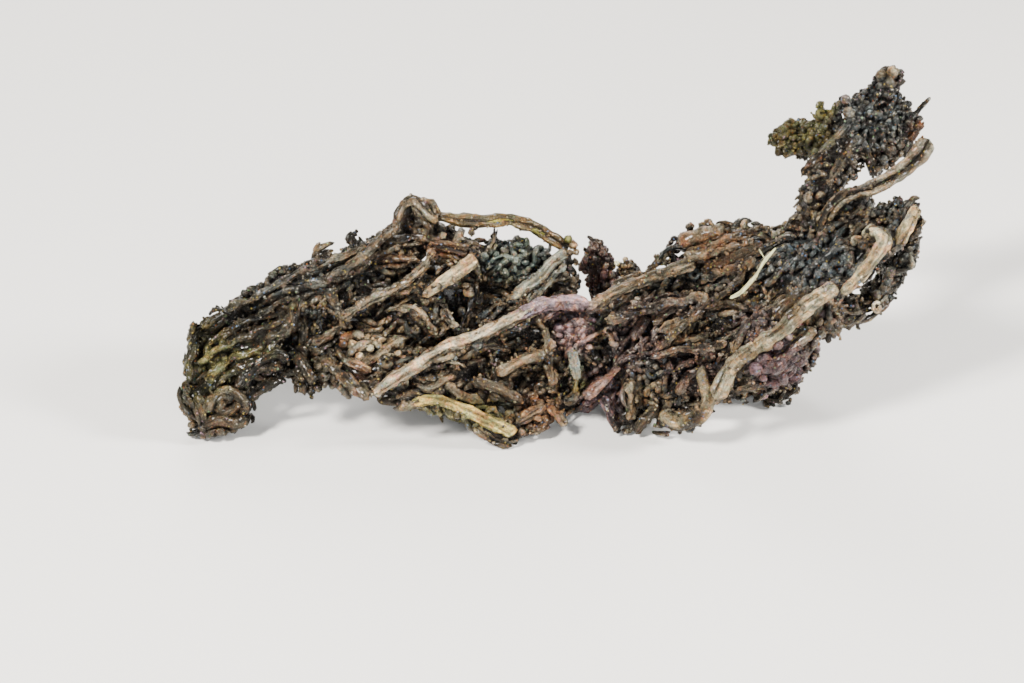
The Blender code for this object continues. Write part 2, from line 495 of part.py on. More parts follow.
def main():
    for old in list(bpy.data.objects):
        bpy.data.objects.remove(old)
    copper = bpy.data.collections.new("native_copper")
    cutters = bpy.data.collections.new("cutters")
    for made in (copper, cutters):
        bpy.context.scene.collection.children.link(made)

    left_bundles = [*bundle_wires("left", LEFT_BUNDLES), *deep_wires(LEFT_DEEP_BUNDLES)]
    right_bundles = [*bundle_wires("right", RIGHT_BUNDLES), *deep_wires(RIGHT_DEEP_BUNDLES)]
    tower_bundles = list(deep_wires(TOWER_DEEP_BUNDLES))
    right = fused(
        "right_lobe",
        [*right_bundles, *face_wires("right", RIGHT_RIBS), *scattered_twigs(right_bundles, 7, 4)],
        [*placed_knobs(RIGHT_KNOBS), *scattered_knobs(right_bundles, 8, 5)], copper)
    left = fused(
        "left_lobe",
        [*left_bundles, *face_wires("left", LEFT_RIBS), *scattered_twigs(left_bundles, 8, 2)],
        [*placed_knobs(LEFT_KNOBS), *scattered_knobs(left_bundles, 9, 3)], copper)
    tower = fused(
        "tower",
        [*tower_bundles, *free_wires(TOWER_RIBS.values()), *scattered_twigs(tower_bundles, 2, 6)],
        [*placed_knobs(TOWER_KNOBS), *scattered_knobs(tower_bundles, 9, 7)], copper)
    arch = fused("arch_wire", list(free_wires([ARCH_WIRE])), placed_knobs(ARCH_KNOBS), copper)
    swept = fused("swept_wire", list(free_wires([SWEPT_WIRE])), [], copper)
    fibre = straw_tube("plant_fibre", copper)

    # The branches are parted where they fork, the thicker one left whole
    round_right = swollen("round right lobe", right, cutters)
    for branch in (left, tower, swept):
        cut(branch, round_right)
    cut(arch, swollen("round left lobe", left, cutters))
    cut(tower, swollen("round swept wire", swept, cutters))
    for branch, triangles in (
            (left, 4000), (right, 3500), (tower, 1300), (arch, 220), (swept, 220)):
        reskin(branch)
        soften(branch)
        thin(branch, triangles)
    thin(fibre, 120)

    floor = box_cutter(
        "floor", Vector((-60, -40, -10)) * MM, Vector((60, 40, 0)) * MM, cutters)
    for branch in (left, right):
        low = min(vert.co.z for vert in branch.data.vertices)
        print(branch.name, "stood", round(low * 1000, 2), "before the floor was cut")
        cut(branch, floor)

    looks = material("tarnished copper", COPPER)
    straw = material("dry plant fibre", FIBRE)
    for branch in (left, right, tower, arch, swept, fibre):
        branch.data.materials.clear()
        branch.data.materials.append(straw if branch is fibre else looks)


main()
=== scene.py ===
"""Native copper: the looks of a branching specimen of fused ribs, wires, worms and grains."""

import math
import random

import bmesh
import bpy
import numpy as np
from mathutils import Matrix, Vector, noise
from mathutils.bvhtree import BVHTree
from mathutils.kdtree import KDTree


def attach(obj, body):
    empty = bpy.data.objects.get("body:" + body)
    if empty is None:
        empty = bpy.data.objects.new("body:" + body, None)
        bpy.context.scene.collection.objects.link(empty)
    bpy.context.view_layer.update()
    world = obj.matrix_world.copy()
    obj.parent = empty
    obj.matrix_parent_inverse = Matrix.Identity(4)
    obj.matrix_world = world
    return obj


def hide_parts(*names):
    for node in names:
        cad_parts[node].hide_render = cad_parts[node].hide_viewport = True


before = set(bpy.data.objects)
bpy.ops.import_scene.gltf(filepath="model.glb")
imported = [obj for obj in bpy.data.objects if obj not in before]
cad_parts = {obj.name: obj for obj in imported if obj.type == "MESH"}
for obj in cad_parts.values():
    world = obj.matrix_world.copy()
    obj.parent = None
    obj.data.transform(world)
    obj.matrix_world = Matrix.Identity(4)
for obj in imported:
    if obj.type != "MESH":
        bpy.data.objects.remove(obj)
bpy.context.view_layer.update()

# The viewpoint: a long lens a little above the table, in front of the specimen. Places in the
# view are millimetres across and down from its top left corner (ten pixels of the photograph
# are a millimetre), and a depth back from the front foot. Sizes are in millimetres throughout.
MM = 0.001
VIEW_ELEVATION = math.radians(28)
VIEW_DISTANCE = 227.6
VIEW_CENTRE = (51.2, 34.15)
AIM = Vector((0, 6.0, 8.6))
ORIGIN = Vector((4.14, 9.61, 0))
SCALE = MM * 75.0 / 74.9
FORWARD = Vector((0, math.cos(VIEW_ELEVATION), -math.sin(VIEW_ELEVATION)))
UPWARD = Vector((0, math.sin(VIEW_ELEVATION), math.cos(VIEW_ELEVATION)))
EYE = AIM - FORWARD * VIEW_DISTANCE


def stand(across, down, back):
    """The place in the object's own frame of a point seen in the view, at a depth back."""
    on_plane = AIM + Vector((across - VIEW_CENTRE[0], 0, 0)) + UPWARD * (VIEW_CENTRE[1] - down)
    reach = (back - EYE.y) / (on_plane.y - EYE.y)
    return (EYE + (on_plane - EYE) * reach - ORIGIN) * SCALE


def seen(places):
    """Where places in the object's frame (an array) are seen, as columns across and down."""
    rays = np.asarray(places) / SCALE + np.array(ORIGIN) - np.array(EYE)
    far = rays @ np.array(FORWARD)
    across = VIEW_CENTRE[0] + rays[:, 0] / far * VIEW_DISTANCE
    down = VIEW_CENTRE[1] - (rays @ np.array(UPWARD)) / far * VIEW_DISTANCE
    return across, down


SENSOR_WIDTH = 36
VIEW_WIDTH = 102.4
lens = bpy.data.cameras.new("camera")
lens.sensor_width = SENSOR_WIDTH
lens.lens = SENSOR_WIDTH * VIEW_DISTANCE / VIEW_WIDTH
lens.clip_start, lens.clip_end = 0.01, 10
camera = bpy.data.objects.new("camera", lens)
camera.location = (EYE - ORIGIN) * SCALE
camera.rotation_euler = (math.pi / 2 - VIEW_ELEVATION, 0, 0)
bpy.context.scene.collection.objects.link(camera)
bpy.context.scene.camera = camera

# The studio: a plain pale floor, a key light from the upper left, a lower one from the right
# that picks out the ribs, broad weak ones from the front and behind, and a dim even surround.
paint = bpy.data.materials.new("pale floor")
paint.use_nodes = True
paint.node_tree.nodes["Principled BSDF"].inputs["Base Color"].default_value = (0.62, 0.61, 0.59, 1)
paint.node_tree.nodes["Principled BSDF"].inputs["Roughness"].default_value = 0.7
floor_mesh = bpy.data.meshes.new("floor")
floor_shape = bmesh.new()
bmesh.ops.create_grid(floor_shape, x_segments=1, y_segments=1, size=3.0)
floor_shape.to_mesh(floor_mesh)
floor_shape.free()
floor = bpy.data.objects.new("floor", floor_mesh)
floor.data.materials.append(paint)
bpy.context.scene.collection.objects.link(floor)

MIDDLE = Vector((0.005, 0, 0.012))
for name, place, size, power, tint in (
        ("key light", (-0.2, -0.24, 0.3), 0.07, 7.0, (1.0, 0.96, 0.9)),
        ("side light", (0.32, -0.06, 0.18), 0.08, 4.2, (1.0, 0.97, 0.93)),
        ("front light", (0.06, -0.42, 0.16), 0.2, 2.0, (0.95, 0.98, 1.0)),
        ("back light", (-0.1, 0.38, 0.24), 0.25, 2.6, (1.0, 0.98, 0.95))):
    lamp = bpy.data.lights.new(name, "AREA")
    lamp.size = size
    lamp.energy = power
    lamp.color = tint
    light = bpy.data.objects.new(name, lamp)
    light.location = place
    light.rotation_euler = (MIDDLE - Vector(place)).to_track_quat("-Z", "Y").to_euler()
    bpy.context.scene.collection.objects.link(light)
surround = bpy.data.worlds.new("studio")
surround.use_nodes = True
surround.node_tree.nodes["Background"].inputs["Color"].default_value = (0.9, 0.88, 0.85, 1)
surround.node_tree.nodes["Background"].inputs["Strength"].default_value = 0.2
bpy.context.scene.world = surround

# The inner growth of the two lobes and the tower: copper wires packed so closely that only a
# dark, rough mass shows between the outer ribs; its near-black colour is painted shade of the
# depths. It grew as one body with everything that lies on it. Each piece is its solid, sunk a
# little and roughened. First the colours of tarnish.
TAN = (0.086, 0.066, 0.047)
CREAM = (0.185, 0.142, 0.094)
BROWN = (0.036, 0.026, 0.017)
UMBER = (0.01, 0.0075, 0.0055)
SLATE = (0.024, 0.027, 0.029)
VIOLET = (0.09, 0.055, 0.07)
OLIVE = (0.06, 0.055, 0.018)
RUST = (0.095, 0.038, 0.015)
VERDIGRIS = (0.08, 0.145, 0.115)

# Where the tarnish changes colour, after two broad darker zones over the left end and the tower's top:
# across, down, half width, half height, colour, strength
PATCHES = [
    (24, 36, 10, 9, (0.0125, 0.0105, 0.0065), 0.9), (86, 13, 9, 9, UMBER, 0.7),
    (34, 26, 8, 5, (0.042, 0.033, 0.023), 0.5),
    (86, 29, 6, 6, (0.032, 0.028, 0.024), 0.5), (56.4, 30.9, 3.6, 1.2, VIOLET, 0.7),
    (57.4, 33.8, 2, 2.2, (0.21, 0.135, 0.15), 0.85), (60, 40, 2.2, 3.4, VIOLET, 0.9),
    (63.6, 34.5, 3, 3.2, VIOLET, 0.5), (69.5, 37, 3.6, 2.4, VIOLET, 0.4),
    (77.8, 36.3, 3.4, 2.8, (0.05, 0.026, 0.036), 0.8), (66, 30.6, 5, 1.3, VIOLET, 0.3),
    (75.5, 32.5, 2.5, 2, VIOLET, 0.4), (82.8, 28.9, 1.1, 0.9, VIOLET, 0.7),
    (46, 41.4, 5.6, 1.7, OLIVE, 0.7), (58.2, 38.7, 1, 0.9, OLIVE, 0.9),
    (20.5, 36.5, 3, 4.5, OLIVE, 0.5), (79, 13.4, 4.4, 2.2, OLIVE, 0.7),
    (82.4, 10.8, 1.4, 1.1, OLIVE, 0.9), (24, 35.2, 4, 1, OLIVE, 0.5),
    (48, 22, 6, 0.6, OLIVE, 0.3), (55.2, 26, 1.6, 2, SLATE, 0.5),
    (57.6, 36.2, 0.8, 1.8, VERDIGRIS, 0.3), (51.5, 26, 3.6, 2.4, (0.045, 0.058, 0.056), 0.85),
    (81, 26, 5, 2.8, (0.036, 0.042, 0.05), 0.85), (30, 28, 9.5, 2, SLATE, 0.6),
    (87.6, 11.6, 3.8, 3.4, SLATE, 0.85), (70.3, 28, 3, 0.9, SLATE, 0.5),
    (89, 21, 2.2, 1.2, SLATE, 0.7), (90, 27, 2, 3, SLATE, 0.5),
    (64.6, 37, 1.6, 1.6, SLATE, 0.6), (66, 28.6, 2, 0.7, SLATE, 0.5),
    (44.8, 24.9, 2.4, 1, RUST, 0.5), (72.4, 26.4, 2.6, 1, RUST, 0.45),
    (54, 41, 2.2, 2, RUST, 0.5), (36, 36.8, 1.2, 1.4, RUST, 0.5),
    (91.6, 13.2, 1, 1.2, RUST, 0.5), (39, 26, 2.2, 0.7, RUST, 0.4),
    (59.5, 26.8, 1.6, 3, (0.05, 0.027, 0.028), 0.8), (71, 24, 4.5, 1, RUST, 0.4),
    (23, 41.5, 3.6, 2.8, BROWN, 0.7), (85, 33, 3.4, 3, BROWN, 0.6),
    (38, 34.8, 3.4, 2, CREAM, 0.4), (52, 36, 4.5, 2.4, TAN, 0.4),
]


def tarnished(places, plain):
    """The tarnish's colour at each place: the plain colours given, changed where a patch lies."""
    across, down = seen(places)
    colours = np.array(plain, dtype=float)
    light = colours.sum(axis=1) / sum(TAN)
    for a, d, wide, high, colour, strength in PATCHES:
        away = ((across - a) / wide) ** 2 + ((down - d) / high) ** 2
        share = (strength * np.clip(1.4 - away, 0, 1))[:, None]
        colours = colours * (1 - share) + np.array(colour) * light[:, None] ** 0.6 * share
    return colours


def painted(mesh, colours, grain):
    """Stores each vertex's colour, its tarnish with any painted shade, and its place in the grain: two ways
    across it, one along it.
    """
    layer = mesh.attributes.new("patina", "FLOAT_COLOR", "POINT")
    solid_colours = np.hstack([colours, np.ones((len(colours), 1))])
    layer.data.foreach_set("color", solid_colours.astype(np.float32).ravel())
    layer = mesh.attributes.new("grain", "FLOAT_VECTOR", "POINT")
    layer.data.foreach_set("vector", np.asarray(grain, dtype=np.float32).ravel())


def copper(name, brightness=1.0, bump=1.0):
    """Tarnished copper: grooves along the grain and grit, painted shade in their low places, odd specks."""
    made = bpy.data.materials.new(name)
    made.use_nodes = True
    tree = made.node_tree
    shader = tree.nodes["Principled BSDF"]

    def node(kind, **values):
        new = tree.nodes.new(kind)
        for key, value in values.items():
            if key in new.inputs:
                new.inputs[key].default_value = value
            else:
                setattr(new, key, value)
        return new

    def link(out, target):
        tree.links.new(out, target)

    def mapped(source, low, high, to_low, to_high):
        new = node("ShaderNodeMapRange")
        for value, socket in zip((low, high, to_low, to_high), list(new.inputs)[1:5]):
            socket.default_value = value
        link(source, new.inputs["Value"])
        return new.outputs["Result"]

    def product(first, second):
        new = node("ShaderNodeMath", operation="MULTIPLY")
        link(first, new.inputs[0])
        link(second, new.inputs[1])
        return new.outputs["Value"]

    def ramp(source, stops, steps="LINEAR"):
        new = node("ShaderNodeValToRGB")
        new.color_ramp.interpolation = steps
        marks = new.color_ramp.elements
        for n, (at, colour) in enumerate(stops):
            stop = marks[n] if n < 2 else marks.new(at)
            stop.position = at
            stop.color = (*colour, 1)
        link(source, new.inputs["Fac"])
        return new.outputs["Color"]

    where = node("ShaderNodeTexCoord")
    in_mm = node("ShaderNodeMapping")
    in_mm.inputs["Scale"].default_value = (1000, 1000, 1000)
    link(where.outputs["Object"], in_mm.inputs["Vector"])
    along = node("ShaderNodeAttribute", attribute_name="grain")
    clouds = node("ShaderNodeTexNoise", Scale=0.45, Detail=5.0, Roughness=0.65)
    grit = node("ShaderNodeTexNoise", Scale=3.4, Detail=6.0, Roughness=0.7)
    facets = node("ShaderNodeTexVoronoi", Scale=4.2)
    stripes = node("ShaderNodeTexNoise", Scale=3.0, Detail=5.0, Roughness=0.62)
    for texture in (clouds, grit, facets):
        link(in_mm.outputs["Vector"], texture.inputs["Vector"])
    link(along.outputs["Vector"], stripes.inputs["Vector"])

    patina = node("ShaderNodeAttribute", attribute_name="patina")
    # Painted shade and light: the tone darkens where the stripes and grit sink in the bump, and lightens
    # where they rise
    tone = product(
        product(mapped(clouds.outputs["Fac"], 0.3, 0.7, 0.55 * brightness, 1.6 * brightness),
                mapped(grit.outputs["Fac"], 0.36, 0.64, 0.4, 1.7)),
        mapped(stripes.outputs["Fac"], 0.38, 0.62, 0.5, 1.5))

    # The tarnish film turns slowly from blue-grey through brown to gold and rust
    film = node("ShaderNodeTexNoise", Scale=1.1, Detail=5.0, Roughness=0.75)
    link(in_mm.outputs["Vector"], film.inputs["Vector"])
    hue = ramp(film.outputs["Fac"], (
        (0.34, (0.75, 0.93, 1.1)), (0.42, (0.88, 1.02, 0.84)), (0.5, (1.0, 0.98, 0.95)),
        (0.56, (1.25, 1.05, 0.6)), (0.62, (1.3, 0.85, 0.7)), (0.7, (1.25, 0.8, 0.95))))
    filmed = node("ShaderNodeVectorMath", operation="MULTIPLY")
    link(patina.outputs["Color"], filmed.inputs[0])
    link(hue, filmed.inputs[1])
    shaded = node("ShaderNodeVectorMath", operation="SCALE")
    link(filmed.outputs["Vector"], shaded.inputs[0])
    link(tone, shaded.inputs["Scale"])

    # Grains of other colours here and there: rust, straw, blue, green and rose, and pale ones that are
    # painted glints
    odd = node("ShaderNodeTexWhiteNoise")
    link(facets.outputs["Position"], odd.inputs["Vector"])
    grains = ramp(odd.outputs["Value"], (
        (0.0, (0.26, 0.1, 0.04)), (0.2, (0.4, 0.3, 0.07)), (0.4, (0.1, 0.18, 0.32)),
        (0.52, (0.16, 0.26, 0.12)), (0.62, (0.3, 0.18, 0.22)), (0.72, (0.42, 0.37, 0.29))), "CONSTANT")
    chance = node("ShaderNodeTexWhiteNoise", noise_dimensions="4D", W=3.0)
    link(facets.outputs["Position"], chance.inputs["Vector"])
    speckled = node("ShaderNodeMix", data_type="RGBA")
    link(product(mapped(chance.outputs["Value"], 0.82, 0.94, 0.0, 0.6),
                 mapped(facets.outputs["Distance"], 0.55, 0.25, 0.0, 1.0)), speckled.inputs[0])
    link(shaded.outputs["Vector"], speckled.inputs[6])
    tinted = node("ShaderNodeVectorMath", operation="SCALE")
    link(grains, tinted.inputs[0])
    tinted.inputs["Scale"].default_value = brightness
    link(tinted.outputs["Vector"], speckled.inputs[7])
    link(speckled.outputs[2], shader.inputs["Base Color"])

    link(mapped(grit.outputs["Fac"], 0.35, 0.65, 0.5, 0.2), shader.inputs["Roughness"])
    shader.inputs["Metallic"].default_value = 0.6
    shader.inputs["Specular IOR Level"].default_value = 0.35
    shader.inputs["Coat Weight"].default_value = 0.12
    shader.inputs["Coat Roughness"].default_value = 0.15

    normal = None
    for source, strength, depth in (
            (stripes.outputs["Fac"], 0.7, 0.3), (grit.outputs["Fac"], 1.0, 0.3),
            (facets.outputs["Distance"], 0.5, 0.15)):
        dent = node("ShaderNodeBump", Strength=strength * bump, Distance=depth * MM)
        link(source, dent.inputs["Height"])
        if normal:
            link(normal, dent.inputs["Normal"])
        normal = dent.outputs["Normal"]
    link(normal, shader.inputs["Normal"])
    return made


def shown(name, mesh, material, *replaced):
    """Links a mesh as a piece of the specimen, smooth, standing for the solids named."""
    piece = bpy.data.objects.new(name, mesh)
    bpy.context.scene.collection.objects.link(piece)
    mesh.materials.clear()
    mesh.materials.append(material)
    mesh.shade_smooth()
    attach(piece, "root")
    if replaced:
        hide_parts(*replaced)
    return piece


def rumple(place):
    """How far a place on the inner growth is pushed outwards, in mm: coarse and fine lumps."""
    return 0.5 * noise.noise(place / (1.1 * MM)) + 0.3 * noise.noise(place / (0.5 * MM))


# Hollows that stay open, where the inner growth is painted darker as shade: across, down, half width, half
# height
HOLLOWS = [
    (45.9, 30.8, 1.5, 2), (48.4, 23.9, 2.2, 0.7), (42.4, 25.6, 0.6, 0.8), (40.6, 22.4, 0.7, 1.3),
    (44, 26.6, 0.9, 0.6), (60.6, 35, 0.8, 1.4), (58.8, 37.2, 0.5, 1), (42.6, 36.9, 1, 0.8),
    (34.3, 30.4, 0.9, 1), (36.6, 31.4, 1.1, 0.5), (29, 35.6, 0.7, 1.3), (46.6, 37.6, 1.2, 0.4),
    (33.2, 34.6, 0.6, 0.7), (39, 30, 0.6, 0.5), (53, 33.6, 1.2, 0.7), (78, 28.4, 0.8, 0.6),
    (71.8, 32.2, 0.7, 0.5), (61.2, 37.2, 0.6, 0.8), (67.4, 38.8, 0.6, 0.9), (75.6, 29.6, 0.8, 0.4),
    (26.4, 37.6, 0.8, 0.3), (50.6, 30.6, 0.6, 0.5), (85.8, 25.4, 0.5, 1.2), (88.6, 26.2, 0.5, 0.9),
    (87.2, 28.4, 0.5, 0.9), (62.2, 34.6, 0.7, 0.5), (47.8, 33.9, 0.9, 0.4), (66.8, 24.8, 1.2, 1.4),
]


def in_hollow(places, normals):
    """Which places lie in one of the open hollows of the front."""
    across, down = seen(places)
    inside = np.zeros(len(across), dtype=bool)
    for a, d, wide, high in HOLLOWS:
        inside |= ((across - a) / wide) ** 2 + ((down - d) / high) ** 2 < 1
    return inside & (normals[:, 1] < 0.2)


solids = {}
for node_name, piece_name, sink in (
        ("left_lobe", "left_inner_growth", 0.4), ("right_lobe", "right_inner_growth", 0.4),
        ("tower", "tower_inner_growth", 0.3)):
    shape = bmesh.new()
    shape.from_mesh(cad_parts[node_name].data)
    bmesh.ops.remove_doubles(shape, verts=shape.verts, dist=0.001 * MM)
    bmesh.ops.triangulate(shape, faces=shape.faces)
    shape.verts.ensure_lookup_table()
    solids[node_name] = (
        np.array([vert.co[:] for vert in shape.verts]),
        np.array([[vert.index for vert in face.verts] for face in shape.faces]))
    bmesh.ops.subdivide_edges(shape, edges=shape.edges, cuts=1, use_grid_fill=True, smooth=0.3)
    bmesh.ops.subdivide_edges(shape, edges=shape.edges, cuts=1, use_grid_fill=True)
    shape.normal_update()
    skin = BVHTree.FromBMesh(shape)
    for vert in shape.verts:
        through = skin.ray_cast(vert.co - vert.normal * 0.02 * MM, -vert.normal)[3] or 0.0
        share = min(1.0, 0.3 * through / MM / sink)
        push = share * (rumple(vert.co) - sink)
        vert.co += vert.normal * push * MM
        vert.co.z = max(vert.co.z, 0.0)
    inner = bpy.data.meshes.new(piece_name)
    shape.to_mesh(inner)
    shape.free()
    co = np.array([vert.co[:] for vert in inner.vertices])
    normals = np.array([vert.normal[:] for vert in inner.vertices])
    # Painted shade: the near-black tone stands for the shade of the depths, and in the open hollows it is
    # darkened to a quarter
    hollow_shade = np.where(in_hollow(co, normals), 0.25, 1.0)[:, None]
    painted(inner, hollow_shade * tarnished(co, np.tile(UMBER, (len(co), 1))), co / MM)
    shown(piece_name, inner, copper(piece_name, brightness=0.9, bump=1.3), node_name)

# The long ribs and ribbons that lie on each lobe: flattened wires with grooves along them,
# rounded at the ends, and fused to the growth below. The lobes' front faces are given by a low
# front rail and a high back rail, as (across, down, back).
FACES = {
    "left": (
        [(18, 41, 0.8), (23, 43, 1), (30, 38.5, 1.3), (37.7, 40, -1.5), (43.7, 41.5, -0.3),
         (51, 44.5, 0), (57.5, 42.5, 1.8), (61, 41, 3.5)],
        [(18, 34, 6.5), (23, 30.3, 8.1), (30, 26.2, 9.4), (37.7, 23, 12.2), (41, 19.7, 12.8),
         (44, 20.8, 11.7), (51, 24, 11.7), (57.5, 26.5, 12.6), (61, 30, 10.5)],
    ),
    "right": (
        [(58, 42, 2.5), (64, 43, 1.7), (69, 42.5, 0.9), (71.5, 40, -1.8), (76, 36.5, -3),
         (82, 31, -2.3), (88, 25, 1), (92, 22, 3)],
        [(58, 31, 9.8), (61, 30.2, 10.5), (64, 28.3, 13), (69, 24.5, 17), (76, 23.2, 12.6),
         (82, 21.5, 9), (88, 20.5, 8), (92, 19.8, 6)],
    ),
}


def on_face(side, across, down, lift, extra=0.0):
    """A place a little in front of a lobe's face, given where it is seen."""
    lift += extra
    ends = []
    for rail in FACES[side]:
        for near, far in zip(rail, rail[1:]):
            if across <= far[0] or far is rail[-1]:
                share = min(1.0, max(0.0, (across - near[0]) / (far[0] - near[0])))
                ends.append([n + (f - n) * share for n, f in zip(near, far)])
                break
    low, high = ends
    if down > low[1]:
        return stand(across, down, low[2] + down - low[1] - lift)
    share = (low[1] - down) / (low[1] - high[1])
    return stand(across, down, low[2] + (high[2] - low[2]) * share - lift)


skins = {
    name: BVHTree.FromPolygons(co.tolist(), faces.tolist()) for name, (co, faces) in solids.items()}


def seated(places, lift):
    """A route moved along the view so that it follows the solids, only a little in front of them."""
    sights = [place - camera.location for place in places]
    gaps = []
    for sight in sights:
        hits = [skin.ray_cast(camera.location, sight.normalized())[3] for skin in skins.values()]
        gaps.append(min(hit for hit in hits if hit) - sight.length if any(hits) else None)
    known = sorted(gap for gap in gaps if gap is not None)
    if not known:
        return places
    middle = known[len(known) // 2]
    reach = 1.5 * MM
    near = [middle if gap is None else min(middle + reach, max(middle - reach, gap)) for gap in gaps]
    even = [np.mean(near[max(0, n - 1):n + 2]) for n in range(len(near))]
    front = (0.15 + 0.35 * lift) * MM
    moves = [max(-0.3 * MM, min(4.5 * MM, 0.3 * middle + 0.7 * own - front)) for own in even]
    return [place + sight.normalized() * move for place, sight, move in zip(places, sights, moves)]


